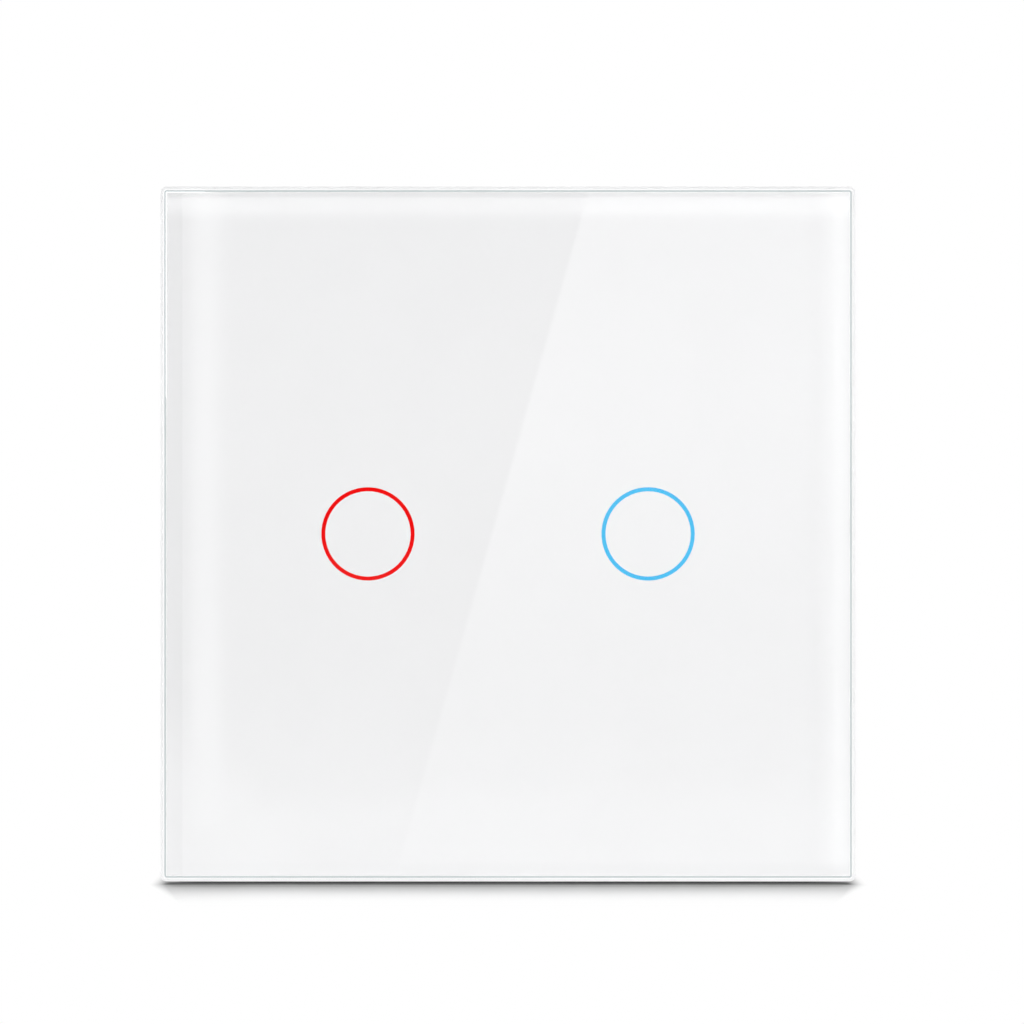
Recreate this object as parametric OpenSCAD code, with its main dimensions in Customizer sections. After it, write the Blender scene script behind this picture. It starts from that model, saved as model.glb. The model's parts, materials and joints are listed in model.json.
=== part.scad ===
// Two-gang capacitive touch light switch for a flush wall box.
// Drawn face up: x runs to the right, y up the wall and z out of the wall into the room.
// z = 0 is the wall. stand_up() then turns it so that the glass looks along -Y.

/* [Glass panel] */
// Width and height of the square glass panel
panel_w = 86; // [83:0.5:92]
// Thickness of the glass
glass_t = 4; // [3:0.1:4.6]
// Radius of the glass corners, seen from the front
glass_corner_r = 0.8; // [0.5:0.1:2]
// Polished bevel round the front of the glass
glass_bevel = 0.6; // [0.3:0.05:1]
// Ground edge round the back of the glass
glass_arris = 0.3; // [0.1:0.05:0.6]
// Thickness of the white print behind the glass
print_t = 0.15; // [0.1:0.05:0.3]
// How far the face of the glass stands out from the wall
front_proud = 11; // [10.2:0.1:13]
// Distance between the centres of the two rings
ring_pitch = 34.8; // [33:0.1:36]
// Diameter of a ring on the middle of its line
ring_d = 11.1; // [10:0.1:12]
// Width of a ring's line
ring_line = 0.5; // [0.3:0.05:0.8]

/* [Panel frame] */
// How far the frame is set in from the edge of the glass
frame_inset = 1; // [0.5:0.1:1.5]
// Wall of the frame
frame_wall = 1.6; // [1.4:0.1:2.2]
// Width of the land that carries the tape, with the wall
frame_land_w = 3.5; // [3.2:0.1:4]
// Thickness of that land
frame_land_t = 1.2; // [0.8:0.1:1.5]
// Corner radius of the frame
frame_r = 2; // [1.8:0.1:4]
// Gap between the frame and the wall
frame_back_gap = 0.4; // [0.2:0.1:0.8]
// Width of the adhesive tape
tape_w = 2.6; // [1.5:0.1:3]
// Thickness of the adhesive tape
tape_t = 0.5; // [0.3:0.05:0.8]
// Width of the notch for a flat screwdriver in the lower edge
pry_w = 9; // [6:0.5:12]
// Height of that notch
pry_h = 1.6; // [1:0.1:2]
// Width of a stiffening rib
rib_w = 1; // [0.8:0.1:1.5]
// Gap between a clip and the rib beside it
rib_clip_gap = 5.5; // [3:0.1:6]
// Distance of the outer ribs from the inside corners
rib_corner_gap = 6.4; // [5:0.1:8]

/* [Panel clips] */
// Width of a spring clip
clip_w = 7; // [5:0.5:9]
// Thickness of the clip's strip
clip_t = 0.4; // [0.3:0.05:0.5]
// Distance between the two clips of one edge
clip_pitch = 44; // [38:1:50]
// How far the nose of a clip reaches into the frame's wall
clip_bite = 0.45; // [0.3:0.05:0.5]

/* [Mounting plate] */
// Gap between the plate's edge and the frame's wall
plate_gap = 1.9; // [1.6:0.1:3]
// Thickness of the steel plate
plate_t = 1.2; // [1:0.1:1.5]
// Corner radius of the plate
plate_r = 4; // [2:0.5:6]
// Spacing of the wall fixings
fix_spacing = 60; // [59:0.1:61]
// Width of a fixing slot
fix_slot_w = 4.2; // [3.8:0.1:4.6]
// Length of a fixing slot
fix_slot_l = 6.2; // [5.6:0.1:6.8]
// Distance between two plate screws along an edge
plate_screw_pitch = 64; // [62:0.5:66]
// Height of the pressed stiffening beads
bead_h = 0.6; // [0.4:0.1:0.8]
// Width of a bead
bead_w = 2.4; // [2:0.1:3]
// Length of a bead
bead_l = 14; // [10:0.5:16]
// Gap between a bead and the feet of the panel clips
bead_clip_gap = 2.7; // [1:0.1:3.5]
// Gap between a bead and the well of the nearest fixing
bead_well_gap = 5.3; // [4:0.1:6]

/* [Front cover] */
// Gap between the cover and the print
cover_gap = 0.25; // [0.2:0.05:0.4]
// Gap between the cover and the frame's land
cover_side_gap = 0.5; // [0.3:0.1:0.8]
// Thickness of the cover's face
cover_face_t = 1.4; // [1.2:0.1:1.8]
// Wall of the cover
cover_wall = 1.6; // [1.2:0.1:2]
// Corner radius of the cover
cover_r = 3; // [2:0.5:5]
// Bevel round the cover's face
cover_bevel = 0.5; // [0.3:0.1:0.8]
// Width of the well over a fixing slot, for the screw head
well_w = 7.4; // [7:0.1:7.8]
// Wall round that well
well_wall = 1; // [0.8:0.1:1.2]

/* [Light rings] */
// Outer diameter of a ring-shaped light guide
guide_d = 13; // [12.6:0.1:13.4]
// Bore of a light guide
guide_bore = 8.6; // [8:0.1:8.8]
// Width of the rim that traps the guide under the cover
guide_rim = 0.5; // [0.4:0.1:0.7]
// Thickness of that rim
guide_rim_t = 0.6; // [0.4:0.1:0.7]
// Wall of the light shield round a guide
shield_wall = 0.8; // [0.6:0.1:1]
// Diameter of the spring's wire
spring_wire = 0.4; // [0.3:0.05:0.42]
// Outer diameter of a touch spring at the board
spring_d = 7; // [6:0.1:7.4]
// Outer diameter of a touch spring at the glass
spring_top_d = 5.2; // [4.6:0.1:5.8]
// Turns of a touch spring
spring_turns = 3; // [2:0.25:3]

/* [Touch board] */
// Height of the touch board
touch_board_h = 30; // [28:0.5:33]
// Thickness of the touch board
touch_board_t = 1.2; // [1:0.1:1.3]
// Space between the touch board and the cover's face
touch_drop = 1.3; // [1.2:0.05:1.4]
// Distance between the touch board's two screws
touch_screw_pitch = 25; // [24:0.5:26]
// Length of a side of an indicator lamp
lamp_l = 1.6; // [1.2:0.1:1.8]
// Height of an indicator lamp
lamp_h = 0.6; // [0.5:0.05:0.65]
// Pins of the header between the boards
pin_count = 6; // [4:1:6]
// Pitch of those pins
pin_pitch = 2.54; // [2:0.01:2.6]
// Side of a square pin
pin_side = 0.64; // [0.5:0.02:0.7]
// Height of the socket on the power board
socket_h = 3.4; // [3:0.1:3.6]

/* [Rear housing] */
// Width and height of the housing behind the wall
housing_w = 48; // [46:0.5:51]
// Depth of the housing behind the wall
housing_depth = 25; // [23:0.5:28]
// Wall of the housing
housing_wall = 1.6; // [1.2:0.1:2]
// Corner radius of the housing
housing_r = 3; // [2:0.5:3.5]
// Bevel round the back of the housing
housing_bevel = 1; // [0.5:0.1:1.2]
// Gap between the housing and the plate's opening
housing_fit = 0.4; // [0.2:0.05:0.5]
// Inset of the housing screws from its sides
housing_screw_inset = 4; // [3.3:0.1:4.4]
// Width of a cooling slot
vent_w = 1.4; // [1:0.1:1.8]
// Number of cooling slots on each side
vent_count = 5; // [3:1:6]

/* [Power board] */
// Depth of the power board's front below the wall
power_set = 3; // [2.8:0.1:3.4]
// Thickness of the power board
power_board_t = 1.6; // [1.2:0.1:1.8]
// Depth of the ribs that carry the power board
ledge = 1.5; // [1.3:0.1:1.8]

/* [Relays] */
// Width of a relay
relay_w = 10.2; // [10:0.1:11]
// Length of a relay
relay_l = 18.6; // [18.4:0.1:19.4]
// Height of a relay above its board
relay_h = 15.8; // [14.6:0.1:16.4]
// Wall of a relay's case
relay_wall = 0.6; // [0.5:0.05:0.7]
// Angle by which a resting armature stands open
armature_open = 4.5; // [3:0.1:4.8]
// Thickness of yoke and armature
relay_iron = 1.2; // [1:0.05:1.3]

/* [Terminals] */
// Pitch of the terminal ways
way_pitch = 9.2; // [8.8:0.1:9.8]
// Number of terminal ways
way_count = 3; // [3]
// Depth of the terminal block, up the wall
term_depth = 11.6; // [11.2:0.1:12.2]
// Diameter of a wire entry
entry_d = 3.8; // [3.2:0.1:4]
// Diameter of a clamp screw's thread
clamp_screw_d = 3; // [2.6:0.1:3.2]
// Diameter of a clamp screw's head
clamp_head_d = 5.2; // [4.8:0.1:5.6]
// Depth of the funnel in front of a wire entry
entry_funnel = 0.6; // [0.3:0.1:0.8]
// Depth of the funnel over a clamp screw
screw_funnel = 0.5; // [0.3:0.1:0.7]
// Outer bend radius of a clamp cage
cage_bend = 0.8; // [0.5:0.1:1]
// Pitch of the grip grooves across a clamp's jaws
grip_pitch = 1.2; // [1:0.1:1.4]
// Side of a grip groove
grip_side = 0.4; // [0.3:0.05:0.5]
// Width and depth of the grooves between the ways
groove_w = 0.8; // [0.5:0.1:1]
// Travel of a clamp
clamp_travel = 2.5; // [2:0.1:2.6]

/* [Fits] */
// Gap on each side between pieces that lie beside each other
side_fit = 0.3; // [0.2:0.05:0.4]
// Radial gap of a screw in its hole
screw_fit = 0.05; // [0.02:0.01:0.1]
// Gap between pieces that close on each other
close_fit = 0.1; // [0.05:0.01:0.15]

/* [Hidden] */
$fn = 64;
eps = 1;
glass_back_z = front_proud - glass_t;
print_back_z = glass_back_z - print_t;
frame_front_z = print_back_z - tape_t;
frame_land_z = frame_front_z - frame_land_t;
cover_front_z = print_back_z - cover_gap;
cover_under_z = cover_front_z - cover_face_t;
touch_front_z = cover_under_z - touch_drop;
touch_back_z = touch_front_z - touch_board_t;
power_front_z = -power_set;
power_back_z = power_front_z - power_board_t;

frame_w = panel_w - 2 * frame_inset;
frame_in_w = frame_w - 2 * frame_wall;
land_in_w = frame_w - 2 * frame_land_w;
cover_w = land_in_w - 2 * cover_side_gap;
cover_in_w = cover_w - 2 * cover_wall;
plate_w = frame_in_w - 2 * plate_gap;
rib_x = [clip_pitch / 2 - clip_w / 2 - rib_clip_gap, frame_in_w / 2 - rib_corner_gap];
clip_foot_y = cover_w / 2 - cover_wall - 1;
bead_y = clip_foot_y - bead_clip_gap - bead_w / 2;
bead_x = well_w / 2 + well_wall + bead_well_gap + bead_l / 2;
bead_skin = 0.6;
well_l = well_w + fix_slot_l - fix_slot_w;
guide_flange_r = guide_d / 2 + guide_rim;
shield_r = guide_flange_r + side_fit / 2;
touch_board_w = fix_spacing - well_l - 2 * well_wall - 2 * side_fit;
lamp_ring_r = ring_d / 2;
lamp_angles = [45, 225];
foot_r = 0.4;
foot_ring_r = guide_flange_r - foot_r - 0.05;

housing_in_w = housing_w - 2 * housing_wall;
housing_front_z = plate_t;
housing_screw_at = housing_w / 2 - housing_screw_inset;
housing_screw_d = 2.6;
housing_head_d = 4.6;
housing_head_h = 1.7;
housing_floor_t = 3;
housing_tube_r = housing_head_d / 2 + 1;
plate_screw_d = 2.6;
touch_screw_d = 1.8;
touch_head_d = 3.6;
touch_head_h = 1.2;
plate_head_d = 4.6;
boss_wall = 1.5;
power_board_w = housing_in_w - 2 * side_fit;
hold_down_y = housing_in_w / 2 - 3.4;
chip_y = 4.5;
chip_l = 9.9;
chip_w = 3.9;
chip_h = 1.4;
chip_stand = 0.1;
chip_draft = 0.15;
chip_mark_r = 0.35;
header_w = 2.5;
header_notch = 0.5;
board_r = 0.8;
screw_round = 0.4;
screw_tip = 0.4;
lead_r = 0.35;
trafo_y = -1;
trafo_pin_y = 4.4;
header_y = trafo_y - trafo_pin_y - header_w / 2 - lead_r - 1;
header_l = pin_count * pin_pitch;
socket_top_z = power_front_z + socket_h;

term_w = way_count * way_pitch;
term_h = housing_depth + power_back_z;
term_low_y = -housing_w / 2;
term_top_y = term_low_y + term_depth;
clamp_y = term_low_y + 6.8;
way_x = [for (i = [0:way_count - 1]) (i - (way_count - 1) / 2) * way_pitch];
// Heights of a terminal way above the power board, from the rear face inwards
head_top = term_h - 1;
head_low = head_top - 1.8;
shoulder_low = head_low - 1.2;
cage_wall = 1.2;
cage_top_wall = 1.4;
cage_top = shoulder_low - clamp_travel - 0.9;
bar_t = 1;
bar_gap = 0.8;
bar_top = cage_top - cage_top_wall - bar_gap;
bar_low = bar_top - bar_t;
wire_space = 4;
cage_low = bar_low - wire_space - cage_wall;
entry_h = bar_low - wire_space / 2;
cage_w = 6.4;
cage_side = 0.9;
cage_l = 5.4;
key_w = 1.2;
key_h = 2.2;
cage_bend_in = 0.3;
clamp_tip = 0.4;
clamp_head_bevel = 0.3;
bar_w = cage_w - 2 * cage_side - 0.6;

relay_x = housing_in_w / 2 - ledge - 0.4 - relay_w / 2;
relay_y = term_top_y + 2.4 + relay_l / 2;
relay_top_y = relay_y + relay_l / 2;
relay_base_t = 1.6;
relay_foot = 0.4;
relay_head_room = 3.2;
relay_back = relay_l / 2 - relay_wall;
relay_side = relay_w / 2 - relay_wall;
yoke_back_y = -relay_back + 0.7;
yoke_low = relay_foot + relay_base_t;
yoke_top = relay_h - relay_wall - relay_head_room;
yoke_w = 2 * relay_side - 2;
bobbin_low = yoke_low + relay_iron;
bobbin_top = yoke_top - 0.6;
bobbin_flange = 0.8;
bobbin_l = 9;
bobbin_gap = 0.3;
bobbin_r = 0.6;
case_r = 0.5;
coil_y = yoke_back_y + relay_iron + bobbin_gap + bobbin_l / 2;
core_r = 1.5;
pole_r = 2.6;
rivet_r = 0.8;
rivet_h = 0.25;
rivet_z = 6;
pivot_y = yoke_back_y + relay_iron / 2;
contact_y = relay_back - 2.3;
contact_r = 1.2;
contact_w = 3;
contact_t = 1;
contact_over = 0.2;
blade_w = 4;
blade_over = 1.5;
blade_back_y = pivot_y + 2.6;
post_t = 0.5;
armature_low = yoke_top + close_fit;
armature_t = 1;
armature_top = armature_low + armature_t;
armature_tip_y = coil_y + 3.2;
blade_t = 0.2;
contact_meet = yoke_top + 2 * close_fit;
shelf_z = contact_meet - contact_t - 0.2;
relay_pins = [[-2.5, yoke_back_y + 2.4], [2.5, yoke_back_y + 2.4]];
common_pin = [0, yoke_back_y + relay_iron / 2];
fixed_pin = [0, relay_back - 0.7];

top_row_y = relay_top_y + 0.8;
filter_d = 8;
filter_h = 12;
filter_at = [-2.4, top_row_y + filter_d / 2];
film_size = [11, 5, 11.5];
film_r = 0.6;
film_at = [8, top_row_y + film_size[1] / 2];
fuse_d = 6;
fuse_h = 7.6;
fuse_bevel = 0.3;
fuse_at = [-10.4, top_row_y + fuse_d / 2];
trafo_at = [0, trafo_y];
trafo_w = 13;
trafo_t = 5;
trafo_h = 11;
trafo_leg = 2.6;
trafo_window = 4;
trafo_mid_w = trafo_w - trafo_leg - 2 * trafo_window;
trafo_coil_w = trafo_window - 0.5;
trafo_coil_t = 2.6;
trafo_slip = 0.2;
trafo_foot = 1.8;
trafo_seam = 0.3;
trafo_pin_x = 4.5;
trafo_pins = [for (x = [-1, 1], y = [-1, 1]) [x * trafo_pin_x, y * trafo_pin_y]];
lead_stub = 1.2;
lead_hole_r = lead_r + 0.15;

// Turns what is drawn face up so that it hangs on the wall
module stand_up() rotate([90, 0, 0]) children();

// Places a piece on the back of the power board, with its own z pointing away from the board
module on_power_board(at) translate([at[0], at[1], power_back_z]) mirror([0, 0, 1]) children();

module rounded_rect(w, h, r) {
    square([w - 2 * r, h], center = true);
    square([w, h - 2 * r], center = true);
    for (x = [-1, 1], y = [-1, 1]) translate([x * (w / 2 - r), y * (h / 2 - r)]) circle(r);
}

module slot_shape(l, w) {
    square([l - w, w], center = true);
    for (x = [-1, 1]) translate([x * (l - w) / 2, 0]) circle(d = w);
}

module rounded_slab(w, t, r) linear_extrude(t) rounded_rect(w, w, r);

// Section of a slab with a bevel round its front and its back
module bevel_section(w, t, front, back) polygon([
    [-w / 2 + back, 0], [w / 2 - back, 0], [w / 2, back], [w / 2, t - front],
    [w / 2 - front, t], [-w / 2 + front, t], [-w / 2, t - front], [-w / 2, back]
]);

// A square slab with rounded corners and flat bevels along its four edges
module bevelled_slab(w, t, r, front, back) intersection() {
    rounded_slab(w, t, r);
    for_edges(w) bevel_section(w, t, front, back);
}

module for_edges(w) intersection() {
    rotate([90, 0, 0]) translate([0, 0, -w / 2 - eps]) linear_extrude(w + 2 * eps) children();
    rotate([90, 0, 90]) translate([0, 0, -w / 2 - eps]) linear_extrude(w + 2 * eps) children();
}

module at_corners(d) for (x = [-1, 1], y = [-1, 1]) translate([x * d, y * d, 0]) children();

module at_rings() for (x = [-1, 1]) translate([x * ring_pitch / 2, 0, 0]) children();

module at_fixings() for (a = [0:90:270]) rotate(a) translate([fix_spacing / 2, 0, 0]) children();

// Places a piece at each clip, with x along the edge and y out of the switch
module at_clips() for (a = [0, 180], x = [-1, 1])
    rotate(a) translate([x * clip_pitch / 2, 0, 0]) children();

// A strip of even thickness along a bent path
function strip_normal(a, b) = let (d = (b - a) / norm(b - a)) [-d[1], d[0]];
function strip_offset(path, i, h) =
    i == 0 ? path[0] + h * strip_normal(path[0], path[1])
    : i == len(path) - 1 ? path[i] + h * strip_normal(path[i - 1], path[i])
    : let (m = strip_normal(path[i - 1], path[i]), n = strip_normal(path[i], path[i + 1]))
      path[i] + h * (m + n) / (1 + m * n);
module strip_section(path, t) polygon(concat(
    [for (i = [0:len(path) - 1]) strip_offset(path, i, t / 2)],
    [for (i = [len(path) - 1:-1:0]) strip_offset(path, i, -t / 2)]
));

// A screw with its head's top at z = 0, its shank pointing along +z and a cross recess
module cross_screw(head_d, head_h, shank_d, shank_l) difference() {
    rotate_extrude() polygon([
        [0, 0], [head_d / 2 - screw_round, 0], [head_d / 2, screw_round], [head_d / 2, head_h],
        [shank_d / 2, head_h], [shank_d / 2, head_h + shank_l - screw_tip],
        [shank_d / 2 - screw_tip, head_h + shank_l], [0, head_h + shank_l]
    ]);
    for (a = [0, 90]) rotate(a)
        translate([-head_d * 0.3, -head_d * 0.07, -eps])
            cube([head_d * 0.6, head_d * 0.14, eps + head_h * 0.6]);
}

module leads(points, top) for (p = points)
    translate([p[0], p[1], -power_board_t - lead_stub])
        cylinder(r = lead_r, h = power_board_t + lead_stub + top);

module lead_holes(at, points) for (p = points)
    translate([at[0] + p[0], at[1] + p[1], power_back_z - eps])
        cylinder(r = lead_hole_r, h = power_board_t + 2 * eps);

// Glass panel

module glass_pane() color("aliceblue") translate([0, 0, glass_back_z])
    bevelled_slab(panel_w, glass_t, glass_corner_r, glass_bevel, glass_arris);

module back_print() color("white") translate([0, 0, print_back_z]) linear_extrude(print_t) difference() {
    square(panel_w - 2 * glass_bevel, center = true);
    at_rings() difference() {
        circle(d = ring_d + ring_line);
        circle(d = ring_d - ring_line);
    }
}

module adhesive_tape() color("whitesmoke") translate([0, 0, frame_front_z])
    linear_extrude(tape_t) difference() {
        square(land_in_w + 2 * tape_w, center = true);
        square(land_in_w, center = true);
    }

module panel_frame() color("white") difference() {
    union() {
        difference() {
            translate([0, 0, frame_back_gap])
                bevelled_slab(frame_w, frame_front_z - frame_back_gap, frame_r, 0.3, 0.3);
            translate([0, 0, frame_back_gap - eps])
                rounded_slab(frame_in_w, frame_land_z - frame_back_gap + eps, frame_r - frame_wall + 0.4);
            translate([0, 0, frame_land_z - eps]) rounded_slab(land_in_w, frame_land_t + 2 * eps, cover_r);
        }
        for (a = [0:90:270], x = concat(rib_x, -rib_x)) rotate(a)
            translate([x - rib_w / 2, frame_in_w / 2 - 1.1, frame_back_gap + 0.6])
                cube([rib_w, 1.4, frame_land_z - frame_back_gap - 0.5]);
    }
    at_clips() translate([-clip_w / 2 - 0.5, frame_in_w / 2 - eps, frame_land_z - 2.95])
        cube([clip_w + 1, eps + clip_bite + clip_t / 2 + 0.25, 2.2]);
    translate([-pry_w / 2, -frame_w / 2 - eps, frame_back_gap - eps])
        cube([pry_w, frame_wall + 2 * eps, pry_h + eps]);
}

// Bent strip of a panel clip, out of the switch and up from the plate
clip_path = [
    [clip_foot_y, plate_t + clip_t / 2],
    [cover_w / 2 + 0.5, plate_t + clip_t / 2],
    [cover_w / 2 + 0.5, frame_land_z - 0.9],
    [cover_w / 2 + 1.1, frame_land_z - 0.5],
    [frame_in_w / 2 + clip_bite, frame_land_z - 1.85],
    [frame_in_w / 2 - 0.6, frame_land_z - 3.05]
];
module panel_clips() color("lightsteelblue") at_clips()
    rotate([90, 0, 90]) translate([0, 0, -clip_w / 2])
        linear_extrude(clip_w) strip_section(clip_path, clip_t);

// Mounting plate

module at_beads() for (a = [0:90:270], x = [-1, 1]) rotate(a) translate([x * bead_x, bead_y, 0]) children();

module mounting_plate() color("silver") difference() {
    union() {
        rounded_slab(plate_w, plate_t, plate_r);
        at_beads() translate([0, 0, plate_t / 2])
            linear_extrude(plate_t / 2 + bead_h) slot_shape(bead_l, bead_w);
    }
    at_beads() translate([0, 0, -eps])
        linear_extrude(eps + bead_h) slot_shape(bead_l - 2 * bead_skin, bead_w - 2 * bead_skin);
    translate([0, 0, -eps])
        rounded_slab(housing_w + 2 * housing_fit, plate_t + 2 * eps, housing_r + housing_fit);
    at_fixings() translate([0, 0, -eps]) linear_extrude(plate_t + 2 * eps) slot_shape(fix_slot_l, fix_slot_w);
    at_corners(plate_screw_pitch / 2) {
        translate([0, 0, -eps]) cylinder(r = plate_screw_d / 2 + 0.2, h = plate_t + 2 * eps);
        translate([0, 0, -eps]) cylinder(r1 = plate_head_d / 2 + 0.1 + eps, r2 = plate_screw_d / 2 + 0.2,
            h = eps + (plate_head_d - plate_screw_d) / 2 - 0.1);
    }
}

module plate_screws() color("gainsboro") at_corners(plate_screw_pitch / 2) difference() {
    union() {
        translate([0, 0, 0.1])
            cylinder(d1 = plate_head_d, d2 = plate_screw_d, h = (plate_head_d - plate_screw_d) / 2);
        translate([0, 0, 0.3]) cylinder(d = plate_screw_d, h = cover_under_z - 0.9);
    }
    for (a = [45, 135]) rotate(a) translate([-1.3, -0.3, -eps]) cube([2.6, 0.6, eps + 0.6]);
}

// Front cover of the switch module

module front_cover() color("white") difference() {
    union() {
        difference() {
            translate([0, 0, plate_t])
                bevelled_slab(cover_w, cover_front_z - plate_t, cover_r, cover_bevel, 0);
            translate([0, 0, plate_t - eps])
                rounded_slab(cover_in_w, cover_under_z - plate_t + eps, cover_r - cover_wall);
        }
        at_fixings() translate([0, 0, plate_t])
            linear_extrude(cover_under_z - plate_t + 0.5)
                slot_shape(well_l + 2 * well_wall, well_w + 2 * well_wall);
        at_rings() translate([0, 0, touch_front_z + 0.1])
            cylinder(r = shield_r + shield_wall, h = cover_under_z - touch_front_z + 0.4);
        at_corners(housing_screw_at) translate([0, 0, housing_front_z])
            cylinder(r = housing_screw_d / 2 + boss_wall, h = cover_under_z - housing_front_z + 0.5);
        at_corners(plate_screw_pitch / 2) translate([0, 0, plate_t])
            cylinder(r = plate_screw_d / 2 + boss_wall, h = cover_under_z - plate_t + 0.5);
        for (y = [-1, 1]) {
            translate([0, y * touch_screw_pitch / 2, touch_front_z])
                cylinder(r = touch_screw_d / 2 + 1.3, h = cover_under_z - touch_front_z + 0.5);
            translate([0, y * hold_down_y, power_front_z])
                cylinder(r = 1.7, h = cover_under_z - power_front_z + 0.5);
        }
        for (x = [-1, 1], y = [-1, 1])
            translate([x * (cover_in_w / 4 + 8) - 0.5, y * 26.5 - 6, cover_under_z - 1.6]) cube([1, 12, 2]);
    }
    at_fixings() translate([0, 0, plate_t - eps])
        linear_extrude(cover_front_z - plate_t + 2 * eps) slot_shape(well_l, well_w);
    at_rings() {
        translate([0, 0, touch_front_z - eps])
            cylinder(r = shield_r, h = cover_under_z - touch_front_z + eps);
        translate([0, 0, cover_under_z - eps])
            cylinder(r = guide_d / 2 + screw_fit, h = cover_face_t + 2 * eps);
    }
    at_corners(housing_screw_at) translate([0, 0, housing_front_z - eps])
        cylinder(r = housing_screw_d / 2 + screw_fit, h = cover_under_z - housing_front_z + eps - 0.2);
    at_corners(plate_screw_pitch / 2) translate([0, 0, plate_t - eps])
        cylinder(r = plate_screw_d / 2 + screw_fit, h = cover_under_z - plate_t + eps - 0.2);
    for (y = [-1, 1]) translate([0, y * touch_screw_pitch / 2, touch_front_z - eps])
        cylinder(r = touch_screw_d / 2 + screw_fit, h = cover_under_z - touch_front_z + eps + 0.9);
    at_clips() translate([-clip_w / 2 - 0.2, cover_in_w / 2 - eps, plate_t - eps])
        cube([clip_w + 0.4, cover_wall + 2 * eps, eps + clip_t + 0.05]);
}

// Light guides, with a rim under the cover and three feet on the board

module light_ring(side, tint) color(tint) translate([side * ring_pitch / 2, 0, 0]) {
    rotate_extrude() polygon([
        [guide_bore / 2, cover_under_z - guide_rim_t], [guide_flange_r, cover_under_z - guide_rim_t],
        [guide_flange_r, cover_under_z], [guide_d / 2, cover_under_z],
        [guide_d / 2, cover_front_z], [guide_bore / 2, cover_front_z]
    ]);
    for (a = [90, 210, 330]) rotate(a) translate([foot_ring_r, 0, touch_front_z])
        cylinder(r = foot_r, h = cover_under_z - touch_front_z - guide_rim_t / 2);
}

// Touch springs: one unbroken wire that narrows from the board to the back of the glass
spring_low_z = touch_front_z + spring_wire / 2;
spring_high_z = print_back_z - spring_wire / 2 - 0.05;
spring_low_r = (spring_d - spring_wire) / 2;
spring_high_r = (spring_top_d - spring_wire) / 2;
spring_steps = 8;
spring_sides = 6;
spring_count = round(spring_turns * spring_steps);
function spring_r(i) = spring_low_r + (spring_high_r - spring_low_r) * i / spring_count;
function spring_z(i) = spring_low_z + (spring_high_z - spring_low_z) * i / spring_count;
function spring_point(i, r, z) = [r * cos(360 * i / spring_steps), r * sin(360 * i / spring_steps), z];
spring_gap = norm([spring_r(0) - spring_r(spring_steps), spring_z(0) - spring_z(spring_steps)]) - spring_wire;
echo(str("Least gap between turns of a touch spring: ", spring_gap, " mm"));
module touch_spring(side) color("goldenrod") translate([side * ring_pitch / 2, 0, 0]) polyhedron(
    points = [for (i = [0:spring_count], k = [0:spring_sides - 1])
        spring_point(i, spring_r(i) + spring_wire / 2 * cos(360 * k / spring_sides),
            spring_z(i) + spring_wire / 2 * sin(360 * k / spring_sides))],
    faces = concat(
        [for (k = [1:spring_sides - 2]) [0, k, k + 1]],
        [for (k = [1:spring_sides - 2]) let (b = spring_count * spring_sides) [b, b + k + 1, b + k]],
        [for (i = [0:spring_count - 1], k = [0:spring_sides - 1])
            let (a = i * spring_sides + k, b = i * spring_sides + (k + 1) % spring_sides)
            [a, a + spring_sides, b]],
        [for (i = [0:spring_count - 1], k = [0:spring_sides - 1])
            let (a = i * spring_sides + k, b = i * spring_sides + (k + 1) % spring_sides)
            [b, a + spring_sides, b + spring_sides]]
    )
);

// Touch board and what it carries

module touch_board() color("seagreen") translate([0, 0, touch_back_z])
    linear_extrude(touch_board_t) difference() {
        rounded_rect(touch_board_w, touch_board_h, board_r);
        for (y = [-1, 1]) translate([0, y * touch_screw_pitch / 2]) circle(r = touch_screw_d / 2 + 0.2);
        for (i = [0:pin_count - 1]) translate([(i - (pin_count - 1) / 2) * pin_pitch, header_y])
            square(pin_side + close_fit, center = true);
    }

module touch_board_screws() color("gainsboro") for (y = [-1, 1])
    translate([0, y * touch_screw_pitch / 2, touch_back_z - touch_head_h])
        cross_screw(touch_head_d, touch_head_h, touch_screw_d, touch_board_t + touch_drop + 0.6);

module lamps(turn) for (x = [-1, 1], a = lamp_angles)
    translate([x * ring_pitch / 2, 0, touch_front_z]) rotate(a + turn) translate([lamp_ring_r, 0, 0]) {
        translate([-lamp_l / 2, -0.4, 0]) cube([lamp_l, 0.8, lamp_h * 0.4]);
        translate([-lamp_l * 0.3, -0.4, lamp_h * 0.3]) cube([lamp_l * 0.6, 0.8, lamp_h * 0.7]);
    }
module red_lamps() color("red") lamps(0);
module blue_lamps() color("deepskyblue") lamps(90);

module touch_chip() color("dimgray") translate([0, chip_y, touch_back_z]) {
    difference() {
        translate([-chip_l / 2, 0, -chip_stand - chip_h / 2]) rotate([90, 0, 90]) linear_extrude(chip_l)
            polygon([
                [-chip_w / 2, 0], [-chip_w / 2 + chip_draft, -chip_h / 2],
                [chip_w / 2 - chip_draft, -chip_h / 2], [chip_w / 2, 0],
                [chip_w / 2 - chip_draft, chip_h / 2], [-chip_w / 2 + chip_draft, chip_h / 2]
            ]);
        translate([-chip_l / 2 + 2 * chip_mark_r, -chip_w / 2 + 2.5 * chip_mark_r,
            -chip_stand - chip_h - eps]) cylinder(r = chip_mark_r, h = eps + 0.1);
    }
    for (i = [0:7], y = [-1, 1]) translate([(i - 3.5) * 1.27 - 0.2, y > 0 ? 1.9 : -3, -0.9]) {
        translate([0, y > 0 ? 0 : 0.4, 0]) cube([0.4, 0.7, 0.2]);
        translate([0, y > 0 ? 0.5 : 0.4, 0]) cube([0.4, 0.2, 0.9]);
        translate([0, y > 0 ? 0.5 : 0, 0.7]) cube([0.4, 0.6, 0.2]);
    }
}

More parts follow.
